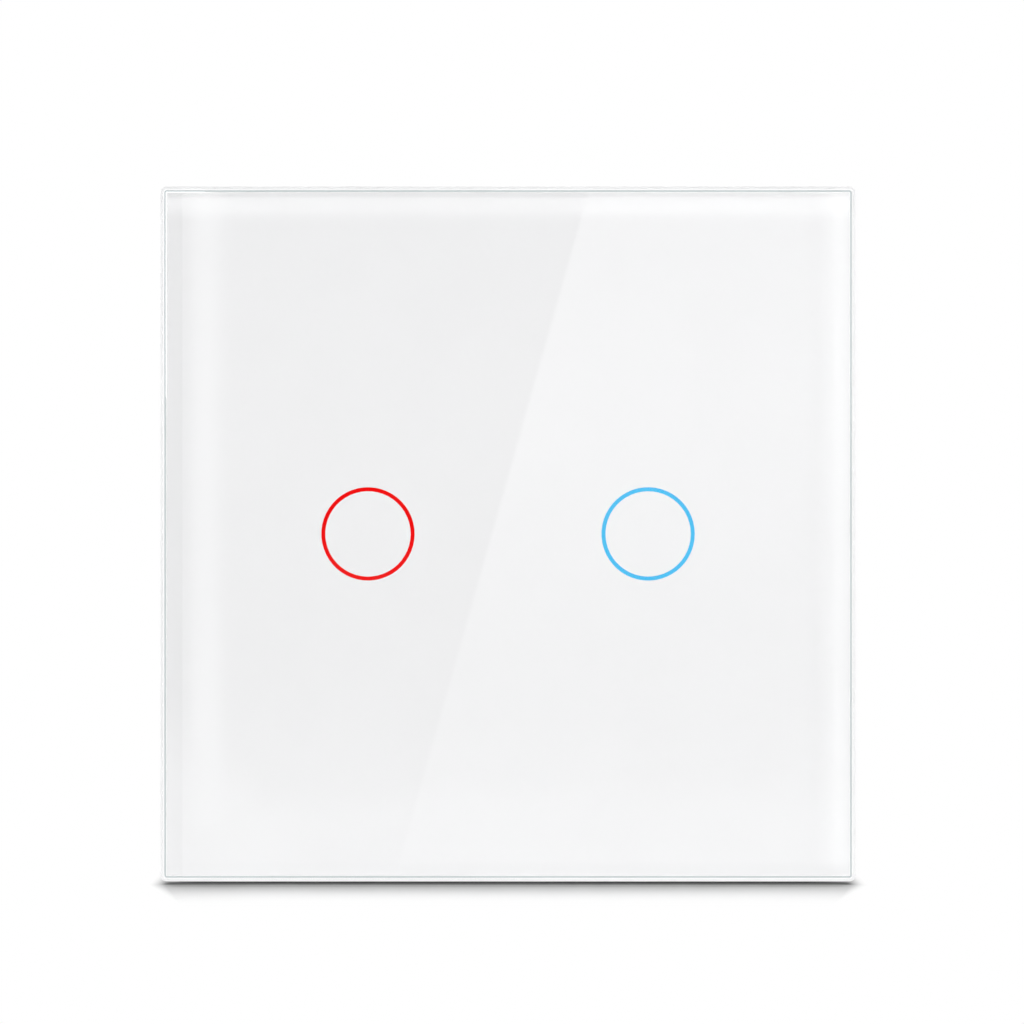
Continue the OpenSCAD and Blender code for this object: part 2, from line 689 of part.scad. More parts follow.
module pin_row(side, z, h) for (i = [0:pin_count - 1])
    translate([(i - (pin_count - 1) / 2) * pin_pitch - side / 2, header_y - side / 2, z])
        cube([side, side, h]);

// Grooves between the pins along both sides of a header or socket
module pin_notches(z, h) for (i = [1:pin_count - 1], y = [-1, 1])
    translate([(i - pin_count / 2) * pin_pitch, header_y + y * header_w / 2, z + h / 2]) rotate(45)
        cube([header_notch, header_notch, h + 2 * eps], center = true);

module board_header() color("dimgray") difference() {
    translate([-header_l / 2, header_y - header_w / 2, socket_top_z])
        cube([header_l, header_w, touch_back_z - socket_top_z]);
    pin_row(pin_side + close_fit, socket_top_z - eps, touch_back_z - socket_top_z + 2 * eps);
    pin_notches(socket_top_z, touch_back_z - socket_top_z);
}

module header_pins() color("gold")
    pin_row(pin_side, power_front_z + 0.6, touch_front_z + 0.5 - power_front_z - 0.6);

module board_socket() color("dimgray") difference() {
    translate([-header_l / 2, header_y - header_w / 2, power_front_z]) cube([header_l, header_w, socket_h]);
    pin_row(pin_side + close_fit, power_front_z + 0.4, socket_h + eps);
    pin_notches(power_front_z, socket_h);
}

// Power board

bar_pin = [0, term_top_y - clamp_y - 0.9];
module power_board() color("darkgreen") difference() {
    translate([0, 0, power_back_z]) linear_extrude(power_board_t) difference() {
        square(power_board_w, center = true);
        for (x = [-1, 1], y = [-1, 1]) translate([x * housing_screw_at, y * housing_screw_at])
            circle(r = housing_tube_r + side_fit);
    }
    for (s = [-1, 1]) lead_holes([s * relay_x, relay_y], concat(relay_pins, [common_pin, fixed_pin]));
    lead_holes(trafo_at, trafo_pins);
    lead_holes(filter_at, [[-1.75, 0], [1.75, 0]]);
    lead_holes(film_at, [[-3.75, 0], [3.75, 0]]);
    lead_holes(fuse_at, [[-1.9, 0], [1.9, 0]]);
    for (x = way_x) lead_holes([x, clamp_y], [bar_pin]);
}

// Relays, each drawn with its length along y and its board at z = 0

module relay(side) on_power_board([side * relay_x, relay_y]) children();

module relay_base(side) color("black") relay(side) difference() {
    translate([-relay_side + 0.05, -relay_back + 0.05, relay_foot])
        cube([2 * relay_side - 0.1, 2 * relay_back - 0.1, relay_base_t]);
    for (p = concat(relay_pins, [common_pin, fixed_pin])) translate([p[0], p[1], -eps])
        cylinder(r = lead_r + screw_fit, h = relay_base_t + 2 * eps);
}

module relay_yoke(side) color("lightgray") relay(side) {
    translate([-yoke_w / 2, yoke_back_y, yoke_low]) difference() {
        cube([yoke_w, coil_y + bobbin_l / 2 + 0.1 - yoke_back_y, relay_iron]);
        for (p = relay_pins) translate([p[0] + yoke_w / 2, p[1] - yoke_back_y, -eps])
            cylinder(r = lead_r + 0.3, h = relay_iron + 2 * eps);
    }
    translate([-yoke_w / 2, yoke_back_y, yoke_low]) cube([yoke_w, relay_iron, yoke_top - yoke_low]);
    translate([0, coil_y, yoke_low]) cylinder(r = core_r, h = yoke_top - yoke_low);
    translate([0, coil_y, bobbin_top]) cylinder(r = pole_r, h = yoke_top - bobbin_top);
    translate([0, yoke_back_y + 0.1, yoke_low + rivet_z]) rotate([90, 0, 0])
        cylinder(r = rivet_r, h = rivet_h + 0.1);
    leads([common_pin], yoke_low + 0.2);
}

module relay_bobbin(side) color("ivory") relay(side) difference() {
    union() {
        for (z = [bobbin_low, bobbin_top - bobbin_flange])
            translate([0, coil_y, z]) linear_extrude(bobbin_flange) rounded_rect(yoke_w, bobbin_l, bobbin_r);
        translate([0, coil_y, bobbin_low]) cylinder(r = core_r + 0.7, h = bobbin_top - bobbin_low);
        leads(relay_pins, bobbin_low + 0.2);
    }
    translate([0, coil_y, bobbin_low - eps])
        cylinder(r = core_r + screw_fit, h = bobbin_top - bobbin_low + 2 * eps);
}

module relay_winding(side) color("chocolate") relay(side)
    translate([0, coil_y, bobbin_low + bobbin_flange]) difference() {
        cylinder(r = yoke_w / 2 - 0.2, h = bobbin_top - bobbin_low - 2 * bobbin_flange);
        translate([0, 0, -eps]) cylinder(r = core_r + 0.7 + screw_fit, h = bobbin_top - bobbin_low);
    }

// The armature and its blade, closed on the pole and then swung open about the yoke's edge
module armature_swing(side) relay(side) translate([0, pivot_y, yoke_top]) rotate([armature_open, 0, 0])
    translate([0, -pivot_y, -yoke_top]) children();

module relay_armature(side) color("lightgray") armature_swing(side)
    translate([-yoke_w / 2, yoke_back_y, armature_low])
        cube([yoke_w, armature_tip_y - yoke_back_y, armature_t]);

module relay_blade(side) color("peru") armature_swing(side) {
    translate([-blade_w / 2, blade_back_y, armature_top])
        cube([blade_w, contact_y + blade_over - blade_back_y, blade_t]);
    translate([0, contact_y, contact_meet + close_fit])
        cylinder(r = contact_r, h = armature_top - contact_meet - close_fit + blade_t / 2);
    translate([0, coil_y, armature_top]) cylinder(r = 0.7, h = blade_t + 0.3);
}

module relay_contact(side) color("peru") relay(side) {
    translate([-contact_w / 2, fixed_pin[1] - post_t / 2, yoke_low])
        cube([contact_w, post_t, shelf_z - yoke_low]);
    translate([-contact_w / 2, contact_y - contact_r - contact_over, shelf_z])
        cube([contact_w, fixed_pin[1] + post_t / 2 - contact_y + contact_r + contact_over, post_t]);
    translate([0, contact_y, contact_meet - contact_t]) cylinder(r = contact_r, h = contact_t);
    leads([fixed_pin], yoke_low + 0.2);
}

hinge_path = [
    [yoke_back_y - 0.35, yoke_low + 4.8],
    [yoke_back_y - 0.35, yoke_top + 1.1],
    [pivot_y - 0.1, armature_top + 0.35],
    [pivot_y + 2.2, armature_top + 0.5]
];
module relay_hinge_spring(side) color("peru") relay(side)
    rotate([90, 0, 90]) translate([0, 0, -1.4]) linear_extrude(2.8) strip_section(hinge_path, 0.15);

module relay_case(side) color("royalblue") relay(side) difference() {
    translate([0, 0, 0.2]) linear_extrude(relay_h - 0.2) rounded_rect(relay_w, relay_l, case_r);
    translate([-relay_side, -relay_back, -eps])
        cube([2 * relay_side, 2 * relay_back, relay_h - relay_wall + eps]);
}

// Supply: transformer, capacitors and fuse

module transformer_core() color("dimgray") on_power_board(trafo_at)
    translate([0, trafo_t / 2, trafo_foot + 0.1]) rotate([90, 0, 0]) linear_extrude(trafo_t) difference() {
        translate([-trafo_w / 2, 0]) square([trafo_w, trafo_h]);
        for (x = [-1, 1]) translate([x * (trafo_mid_w + trafo_window) / 2 - trafo_window / 2, trafo_leg])
            square([trafo_window, trafo_h - 2 * trafo_leg]);
        for (x = [-1, 1]) translate([x * trafo_w / 2, trafo_h - trafo_leg]) square(trafo_seam, center = true);
    }

// The bobbin's foot, the two posts that carry its taped coil, and a way through for the core's middle leg
module transformer_winding() color("gold") on_power_board(trafo_at) difference() {
    union() {
        translate([-trafo_w / 2, -trafo_t / 2 - trafo_coil_t - 0.3, 0])
            cube([trafo_w, trafo_t + 2 * trafo_coil_t + 0.6, trafo_foot]);
        for (a = [0, 180]) rotate(a)
            translate([-trafo_mid_w / 2 - trafo_coil_w + 0.1, trafo_t / 2 + trafo_slip, trafo_foot - 0.2])
                cube([trafo_mid_w + 2 * trafo_coil_w - 0.2, trafo_coil_t - trafo_slip, trafo_leg + 0.6]);
        translate([0, 0, trafo_foot + trafo_leg + 0.3]) linear_extrude(trafo_h - 2 * trafo_leg - 0.5)
            rounded_rect(trafo_mid_w + 2 * trafo_coil_w, trafo_t + 2 * trafo_coil_t, 1.5);
        leads(trafo_pins, 0.5);
    }
    translate([-trafo_mid_w / 2 - trafo_slip, -trafo_t / 2 - trafo_slip, trafo_foot + 0.1])
        cube([trafo_mid_w + 2 * trafo_slip, trafo_t + 2 * trafo_slip, trafo_h + eps]);
}

module filter_capacitor() color("midnightblue") on_power_board(filter_at) {
    rotate_extrude() polygon([
        [0, 0.2], [filter_d / 2 - 0.6, 0.2], [filter_d / 2, 0.6], [filter_d / 2, 1.6],
        [filter_d / 2 - 0.35, 2.1], [filter_d / 2, 2.6], [filter_d / 2, filter_h - 0.4],
        [filter_d / 2 - 0.4, filter_h], [0, filter_h]
    ]);
    leads([[-1.75, 0], [1.75, 0]], 0.5);
}

module film_capacitor() color("gold") on_power_board(film_at) {
    translate([0, 0, 0.1]) linear_extrude(film_size[2]) rounded_rect(film_size[0], film_size[1], film_r);
    leads([[-3.75, 0], [3.75, 0]], 0.5);
}

module fuse() color("saddlebrown") on_power_board(fuse_at) {
    translate([0, 0, 0.2]) rotate_extrude() polygon([
        [0, 0], [fuse_d / 2 - fuse_bevel, 0], [fuse_d / 2, fuse_bevel], [fuse_d / 2, fuse_h - fuse_bevel],
        [fuse_d / 2 - fuse_bevel, fuse_h], [0, fuse_h]
    ]);
    leads([[-1.9, 0], [1.9, 0]], 0.5);
}

// Terminals: drawn from the power board towards the rear

module terminal_way(i) on_power_board([way_x[i], clamp_y]) children();

module terminal_block() color("forestgreen") difference() {
    on_power_board([0, (term_low_y + term_top_y) / 2])
        translate([-term_w / 2, -term_depth / 2, 0]) cube([term_w, term_depth, term_h]);
    for (i = [0:way_count - 1]) terminal_way(i) {
        translate([0, 0, head_low]) cylinder(d = clamp_head_d + 2 * side_fit, h = term_h);
        translate([0, 0, term_h - screw_funnel]) cylinder(r1 = clamp_head_d / 2 + side_fit,
            r2 = clamp_head_d / 2 + side_fit + screw_funnel + eps, h = screw_funnel + eps);
        translate([0, 0, cage_low]) cylinder(r = clamp_screw_d / 2 + 0.15, h = term_h);
        translate([-cage_w / 2 - side_fit, -cage_l / 2 - side_fit, cage_low - side_fit])
            cube([cage_w + 2 * side_fit, cage_l + 2 * side_fit, shoulder_low - cage_low + side_fit]);
        translate([0, 0, entry_h]) rotate([90, 0, 0]) cylinder(d = entry_d, h = term_depth);
        translate([0, term_low_y - clamp_y + entry_funnel, entry_h]) rotate([90, 0, 0])
            cylinder(r1 = entry_d / 2, r2 = entry_d / 2 + entry_funnel + eps, h = entry_funnel + eps);
        translate([-bar_w / 2 - close_fit, 0, -eps])
            cube([bar_w + 2 * close_fit, term_depth, bar_top + eps + side_fit]);
    }
    for (x = [-1, 1]) translate([x * term_w / 2 - key_w / 2, term_low_y - eps, -housing_depth - eps])
        cube([key_w, term_depth + 2 * eps, key_h]);
    for (i = [1:way_count - 1]) translate([way_x[i] - way_pitch / 2 - groove_w / 2, 0, 0]) {
        translate([0, term_low_y - eps, -housing_depth - eps])
            cube([groove_w, term_depth + 2 * eps, groove_w + eps]);
        translate([0, term_low_y - eps, -housing_depth - eps])
            cube([groove_w, groove_w + eps, term_h + 2 * eps]);
    }
}

// Three grooves across the wire, in the face of a jaw at z = 0
module grip_grooves(w) for (k = [-1:1]) translate([0, k * grip_pitch, 0]) rotate([45, 0, 0])
    cube([w, grip_side, grip_side], center = true);

module terminal_busbars() color("goldenrod") for (i = [0:way_count - 1]) terminal_way(i) {
    difference() {
        translate([-bar_w / 2, -cage_l / 2 + 0.4, bar_low])
            cube([bar_w, bar_pin[1] + cage_l / 2 + 0.1, bar_t]);
        translate([0, 0, bar_low]) grip_grooves(bar_w + 2 * eps);
    }
    translate([-bar_w / 2, bar_pin[1] - 0.5, 0.2]) cube([bar_w, bar_t, bar_top - 0.2]);
    leads([bar_pin], 0.5);
}

module clamp_cage(i) color("lightgray") terminal_way(i) translate([0, 0, cage_low]) difference() {
    translate([0, cage_l / 2, (cage_top - cage_low) / 2]) rotate([90, 0, 0]) linear_extrude(cage_l)
        rounded_rect(cage_w, cage_top - cage_low, cage_bend);
    translate([0, cage_l / 2 + eps, (cage_top - cage_low + cage_wall - cage_top_wall) / 2]) rotate([90, 0, 0])
        linear_extrude(cage_l + 2 * eps) rounded_rect(cage_w - 2 * cage_side,
            cage_top - cage_low - cage_wall - cage_top_wall, cage_bend_in);
    translate([0, 0, cage_wall]) grip_grooves(cage_w - 2 * cage_side - 2 * cage_bend_in);
    translate([0, 0, cage_top - cage_low - cage_top_wall - eps])
        cylinder(r = clamp_screw_d / 2 + screw_fit, h = cage_top_wall + 2 * eps);
}

module clamp_screw(i) color("gainsboro") terminal_way(i) difference() {
    rotate_extrude() polygon([
        [0, bar_top + 0.4], [clamp_screw_d / 2 - clamp_tip, bar_top + 0.4],
        [clamp_screw_d / 2, bar_top + 0.4 + clamp_tip], [clamp_screw_d / 2, head_low + 0.02],
        [clamp_head_d / 2, head_low + 0.02], [clamp_head_d / 2, head_top - clamp_head_bevel],
        [clamp_head_d / 2 - clamp_head_bevel, head_top], [0, head_top]
    ]);
    translate([-clamp_head_d, -0.4, head_top - 0.9]) cube([2 * clamp_head_d, 0.8, 2]);
}

// Rear housing: a box that opens to the front, with screw tubes in its corners

function vent_y(i) = (i - (vent_count - 1) / 2) * 2 * vent_w + 2;

module rear_housing() color("dimgray") difference() {
    union() {
        difference() {
            translate([0, 0, -housing_depth])
                bevelled_slab(housing_w, housing_depth + housing_front_z, housing_r, 0, housing_bevel);
            translate([0, 0, -housing_depth + housing_wall])
                rounded_slab(housing_in_w, housing_depth + housing_front_z, housing_r - housing_wall + 0.2);
        }
        at_corners(housing_screw_at) translate([0, 0, -housing_depth + 0.5])
            cylinder(r = housing_tube_r, h = housing_depth + housing_front_z - 0.5);
        for (x = [-1, 1], y = [-1, 1]) translate([x * (housing_in_w - ledge) / 2, y * 12.5, 0])
            housing_ledge(ledge + 0.4, 2);
        for (x = [-1, 1]) translate([x * 9, (housing_in_w - ledge) / 2, 0]) housing_ledge(2, ledge + 0.4);
    }
    at_corners(housing_screw_at) {
        translate([0, 0, -housing_depth - eps])
            cylinder(r = housing_head_d / 2 + 0.3,
                h = housing_depth + eps + housing_front_z - housing_floor_t);
        translate([0, 0, -housing_depth])
            cylinder(r = housing_screw_d / 2 + 0.2, h = housing_depth + housing_front_z + eps);
    }
    translate([-term_w / 2 - side_fit, term_low_y - eps, -housing_depth - eps])
        cube([term_w + 2 * side_fit, term_depth + eps + side_fit, term_h + eps + 0.1]);
    for (x = [-1, 1], i = [0:vent_count - 1])
        translate([x * housing_w / 2 - 2, vent_y(i) - vent_w / 2, -housing_depth + 6]) cube([4, vent_w, 10]);
}

module housing_ledge(w, h) translate([-w / 2, -h / 2, -housing_depth + housing_wall - 0.5])
    cube([w, h, housing_depth + power_back_z - housing_wall + 0.5]);

module housing_screws() color("gainsboro") at_corners(housing_screw_at)
    translate([0, 0, housing_front_z - housing_floor_t - housing_head_h])
        cross_screw(housing_head_d, housing_head_h, housing_screw_d,
            cover_under_z - 0.6 - housing_front_z + housing_floor_t);

stand_up() glass_pane();
stand_up() back_print();
stand_up() adhesive_tape();
stand_up() panel_frame();
stand_up() panel_clips();
stand_up() mounting_plate();
stand_up() plate_screws();
stand_up() front_cover();
stand_up() light_ring(-1, "red");  // light_ring_left
stand_up() light_ring(1, "deepskyblue");  // light_ring_right
stand_up() touch_spring(-1);  // touch_spring_left
stand_up() touch_spring(1);  // touch_spring_right
stand_up() touch_board();
stand_up() touch_board_screws();
stand_up() red_lamps();
stand_up() blue_lamps();
stand_up() touch_chip();
stand_up() board_header();
stand_up() header_pins();
stand_up() board_socket();
stand_up() power_board();
stand_up() relay_base(-1);  // relay_left_base
stand_up() relay_yoke(-1);  // relay_left_yoke
stand_up() relay_bobbin(-1);  // relay_left_bobbin
stand_up() relay_winding(-1);  // relay_left_winding
stand_up() relay_armature(-1);  // relay_left_armature
stand_up() relay_blade(-1);  // relay_left_blade
stand_up() relay_contact(-1);  // relay_left_contact
stand_up() relay_hinge_spring(-1);  // relay_left_hinge_spring
stand_up() relay_case(-1);  // relay_left_case
stand_up() relay_base(1);  // relay_right_base
stand_up() relay_yoke(1);  // relay_right_yoke
stand_up() relay_bobbin(1);  // relay_right_bobbin
stand_up() relay_winding(1);  // relay_right_winding
stand_up() relay_armature(1);  // relay_right_armature
stand_up() relay_blade(1);  // relay_right_blade
stand_up() relay_contact(1);  // relay_right_contact
stand_up() relay_hinge_spring(1);  // relay_right_hinge_spring
stand_up() relay_case(1);  // relay_right_case
stand_up() transformer_core();
stand_up() transformer_winding();
stand_up() filter_capacitor();
stand_up() film_capacitor();
stand_up() fuse();
stand_up() terminal_block();
stand_up() terminal_busbars();
stand_up() clamp_cage(0);  // clamp_cage_1
stand_up() clamp_cage(1);  // clamp_cage_2
stand_up() clamp_cage(2);  // clamp_cage_3
stand_up() clamp_screw(0);  // clamp_screw_1
stand_up() clamp_screw(1);  // clamp_screw_2
stand_up() clamp_screw(2);  // clamp_screw_3
stand_up() rear_housing();
stand_up() housing_screws();
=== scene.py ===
import json
import math

import bmesh
import bpy
from mathutils import Matrix, Vector


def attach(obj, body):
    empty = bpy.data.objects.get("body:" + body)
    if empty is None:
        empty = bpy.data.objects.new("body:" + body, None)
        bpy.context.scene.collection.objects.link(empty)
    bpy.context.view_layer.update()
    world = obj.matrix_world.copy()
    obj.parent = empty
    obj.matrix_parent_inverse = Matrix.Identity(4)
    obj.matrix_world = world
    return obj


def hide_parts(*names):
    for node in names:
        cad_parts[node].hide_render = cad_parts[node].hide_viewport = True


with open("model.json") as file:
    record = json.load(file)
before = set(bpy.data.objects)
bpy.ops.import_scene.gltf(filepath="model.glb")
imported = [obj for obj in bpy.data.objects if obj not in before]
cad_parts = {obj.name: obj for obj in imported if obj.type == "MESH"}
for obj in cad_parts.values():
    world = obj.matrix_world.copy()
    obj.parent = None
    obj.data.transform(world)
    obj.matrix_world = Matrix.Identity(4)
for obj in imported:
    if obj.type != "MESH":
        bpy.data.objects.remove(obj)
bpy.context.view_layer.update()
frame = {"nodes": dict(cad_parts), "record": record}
record = frame["record"]
scene = bpy.context.scene
scene.view_settings.view_transform = "Standard"
print("frame loaded with", len(frame["nodes"]), "nodes")


# Shared shader effects

def effect(name, inputs, outputs):
    group = bpy.data.node_groups.new(name, "ShaderNodeTree")
    for label, kind, value in inputs:
        socket = group.interface.new_socket(label, in_out="INPUT", socket_type="NodeSocket" + kind)
        socket.default_value = value
    for label, kind in outputs:
        group.interface.new_socket(label, in_out="OUTPUT", socket_type="NodeSocket" + kind)
    return group, group.nodes.new("NodeGroupInput"), group.nodes.new("NodeGroupOutput")


def addNode(tree, kind, links=None, **settings):
    node = tree.nodes.new("ShaderNode" + kind)
    for key, value in settings.items():
        setattr(node, key, value)
    for key, value in (links or {}).items():
        if isinstance(value, bpy.types.NodeSocket):
            tree.links.new(value, node.inputs[key])
        else:
            node.inputs[key].default_value = value
    return node


def maths(tree, operation, first, second, third=None):
    links = {0: first, 1: second}
    if third is not None:
        links[2] = third
    return addNode(tree, "Math", links, operation=operation).outputs[0]


def ramp(tree, value, start, end, low=0.0, high=1.0):
    return addNode(tree, "MapRange", {"Value": value, "From Min": start, "From Max": end, "To Min": low, "To Max": high},
        interpolation_type="SMOOTHSTEP").outputs[0]


def pattern(tree, scale, detail=2.0, rough=0.5, stretch=None):
    where = addNode(tree, "TexCoord").outputs["Object"]
    if stretch:
        where = addNode(tree, "Mapping", {"Vector": where, "Scale": stretch}).outputs["Vector"]
    return addNode(tree, "TexNoise", {"Vector": where, "Scale": scale, "Detail": detail, "Roughness": rough})


def toned(tree, colour, mask, depth):
    # the same colour, darker by depth where the mask is high
    value = maths(tree, "SUBTRACT", 1.0, maths(tree, "MULTIPLY", mask, depth))
    return addNode(tree, "HueSaturation", {"Value": value, "Color": colour}).outputs["Color"]


def mouldedSkin():
    # spark-eroded mould texture over slow changes of tone from the flow of the plastic
    group, ins, outs = effect("mouldedSkin", [("Colour", "Color", (0.8, 0.8, 0.8, 1)), ("Shade", "Float", 0.05),
        ("Rough", "Float", 0.45), ("Grain", "Float", 7000.0), ("Speck", "Float", 0.0)],
        [("Colour", "Color"), ("Roughness", "Float"), ("Height", "Float")])
    flow = ramp(group, pattern(group, 70.0, 3.0).outputs[0], 0.3, 0.7)
    grain = pattern(group, 7000.0, 3.0, 0.6)
    group.links.new(ins.outputs["Grain"], grain.inputs["Scale"])
    pits = ramp(group, grain.outputs[0], 0.62, 0.38)
    clouded = toned(group, ins.outputs["Colour"], flow, ins.outputs["Shade"])
    group.links.new(toned(group, clouded, pits, ins.outputs["Speck"]), outs.inputs["Colour"])
    spread = maths(group, "MULTIPLY_ADD", grain.outputs[0], 0.16, ins.outputs["Rough"])
    spread = maths(group, "MULTIPLY_ADD", flow, 0.04, spread)
    group.links.new(maths(group, "SUBTRACT", spread, 0.1), outs.inputs["Roughness"])
    group.links.new(grain.outputs[0], outs.inputs["Height"])
    return group


def rolledMetal():
    # fine lines along the rolling direction, with dull spots in the plating
    group, ins, outs = effect("rolledMetal", [("Colour", "Color", (0.7, 0.7, 0.7, 1)), ("Shade", "Float", 0.12),
        ("Rough", "Float", 0.3), ("Lines", "Vector", (120.0, 4000.0, 4000.0))],
        [("Colour", "Color"), ("Roughness", "Float"), ("Height", "Float")])
    where = addNode(group, "TexCoord").outputs["Object"]
    drawn = addNode(group, "Mapping", {"Vector": where, "Scale": ins.outputs["Lines"]}).outputs["Vector"]
    lines = addNode(group, "TexNoise", {"Vector": drawn, "Scale": 1.0, "Detail": 3.0, "Roughness": 0.6})
    spots = pattern(group, 420.0, 4.0, 0.65)
    both = maths(group, "MULTIPLY_ADD", spots.outputs[0], 0.6, maths(group, "MULTIPLY", lines.outputs[0], 0.4))
    group.links.new(toned(group, ins.outputs["Colour"], both, ins.outputs["Shade"]), outs.inputs["Colour"])
    spread = maths(group, "MULTIPLY_ADD", both, 0.3, ins.outputs["Rough"])
    group.links.new(maths(group, "SUBTRACT", spread, 0.15), outs.inputs["Roughness"])
    group.links.new(lines.outputs[0], outs.inputs["Height"])
    return group


def wipedHaze():
    # faint wiped patches that dull polished glass a little
    group, ins, outs = effect("wipedHaze", [("Rough", "Float", 0.004), ("Haze", "Float", 0.01)],
        [("Roughness", "Float"), ("Mask", "Float")])
    wiped = pattern(group, 55.0, 4.0, 0.6, (1.0, 1.0, 0.35))
    dulled = addNode(group, "MapRange", {"Value": wiped.outputs[0], "From Min": 0.45, "From Max": 0.75})
    rough = maths(group, "MULTIPLY_ADD", dulled.outputs[0], ins.outputs["Haze"], ins.outputs["Rough"])
    group.links.new(rough, outs.inputs["Roughness"])
    group.links.new(dulled.outputs[0], outs.inputs["Mask"])
    return group


def boardTracks():
    # solder mask over copper tracks: lighter and a little higher where copper lies under it
    group, ins, outs = effect("boardTracks", [("Colour", "Color", (0.04, 0.25, 0.12, 1)), ("Width", "Float", 300.0)],
        [("Colour", "Color"), ("Roughness", "Float"), ("Height", "Float")])
    where = addNode(group, "TexCoord").outputs["Object"]
    laid = addNode(group, "Mapping", {"Vector": where, "Rotation": (math.pi / 2, 0, 0)}).outputs["Vector"]
    tracks = addNode(group, "TexBrick", {"Vector": laid, "Scale": ins.outputs["Width"], "Color1": (1, 1, 1, 1),
        "Color2": (0.75, 0.75, 0.75, 1), "Mortar": (0, 0, 0, 1), "Mortar Size": 0.06, "Mortar Smooth": 0.3,
        "Brick Width": 3.6, "Row Height": 0.42}, offset=0.37, squash=0.6, squash_frequency=3)
    weave = pattern(group, 2600.0, 2.0)
    bare = maths(group, "SUBTRACT", 1.0, tracks.outputs[0])
    mixed = maths(group, "MULTIPLY_ADD", weave.outputs[0], 0.25, maths(group, "MULTIPLY", bare, 0.6))
    group.links.new(toned(group, ins.outputs["Colour"], mixed, 0.75), outs.inputs["Colour"])
    group.links.new(maths(group, "MULTIPLY_ADD", weave.outputs[0], 0.12, 0.24), outs.inputs["Roughness"])
    group.links.new(tracks.outputs[0], outs.inputs["Height"])
    return group


def woundTurns():
    # turns of wire or tape laid side by side, with painted shade in the grooves between them
    group, ins, outs = effect("woundTurns", [("Colour", "Color", (0.7, 0.4, 0.2, 1)), ("Pitch", "Float", 800.0),
        ("Shade", "Float", 0.5)], [("Colour", "Color"), ("Height", "Float"), ("Roughness", "Float")])
    where = addNode(group, "TexCoord").outputs["Object"]
    turns = addNode(group, "TexWave", {"Vector": where, "Scale": ins.outputs["Pitch"], "Distortion": 0.6, "Detail": 1.0},
        bands_direction="Y")
    dust = pattern(group, 900.0, 3.0)
    # painted shade: darker where the turns dip between each other
    low = maths(group, "SUBTRACT", 1.0, turns.outputs["Fac"])
    group.links.new(toned(group, ins.outputs["Colour"], low, ins.outputs["Shade"]), outs.inputs["Colour"])
    group.links.new(turns.outputs["Fac"], outs.inputs["Height"])
    group.links.new(maths(group, "MULTIPLY_ADD", dust.outputs[0], 0.2, 0.28), outs.inputs["Roughness"])
    return group


effects = {"skin": mouldedSkin(), "metal": rolledMetal(), "haze": wipedHaze(), "board": boardTracks(),
    "wound": woundTurns()}
print("shared effects built:", ", ".join(effects))


# Finishes, one for each slot of the record

def newFinish(name):
    finish = bpy.data.materials.new(name)
    finish.use_nodes = True
    return finish, finish.node_tree, finish.node_tree.nodes["Principled BSDF"]


def dressed(name, effectName, values, bump, depth, **sockets):
    finish, tree, shader = newFinish(name)
    made = addNode(tree, "Group", node_tree=effects[effectName])
    for key, value in values.items():
        made.inputs[key].default_value = value
    tree.links.new(made.outputs["Colour"], shader.inputs["Base Color"])
    tree.links.new(made.outputs["Roughness"], shader.inputs["Roughness"])
    raised = addNode(tree, "Bump", {"Strength": bump, "Distance": depth, "Height": made.outputs["Height"]})
    tree.links.new(raised.outputs[0], shader.inputs["Normal"])
    for key, value in sockets.items():
        shader.inputs[key.replace("_", " ")].default_value = value
    return finish


plastics = {
    "white_plastic": {"colour": (0.79, 0.79, 0.775), "shade": 0.06, "rough": 0.42, "grain": 4200.0, "speck": 0.05, "bump": 0.35},
    "foam_tape": {"colour": (0.78, 0.78, 0.76), "shade": 0.12, "rough": 0.8, "grain": 2600.0, "speck": 0.15, "bump": 0.4},
    "black_plastic": {"colour": (0.03, 0.03, 0.033), "shade": 0.3, "rough": 0.46, "grain": 4200.0, "speck": 0.3, "bump": 0.35},
    "dark_plastic": {"colour": (0.07, 0.071, 0.076), "shade": 0.25, "rough": 0.48, "grain": 2900.0, "speck": 0.42, "bump": 0.6},
    "terminal_green": {"colour": (0.075, 0.33, 0.15), "shade": 0.18, "rough": 0.4, "grain": 3600.0, "speck": 0.2, "bump": 0.4},
    "relay_case": {"colour": (0.05, 0.15, 0.42), "shade": 0.15, "rough": 0.3, "grain": 5200.0, "speck": 0.15, "bump": 0.3},
    "film_box": {"colour": (0.72, 0.5, 0.07), "shade": 0.12, "rough": 0.3, "grain": 4600.0, "speck": 0.1, "bump": 0.25},
    "fuse_brown": {"colour": (0.17, 0.075, 0.04), "shade": 0.2, "rough": 0.4, "grain": 4200.0, "speck": 0.2, "bump": 0.3},
    "ferrite": {"colour": (0.05, 0.05, 0.055), "shade": 0.35, "rough": 0.55, "grain": 3000.0, "speck": 0.4, "bump": 0.5},
    "can_sleeve": {"colour": (0.02, 0.035, 0.12), "shade": 0.2, "rough": 0.28, "grain": 2400.0, "speck": 0.15, "bump": 0.2},
}
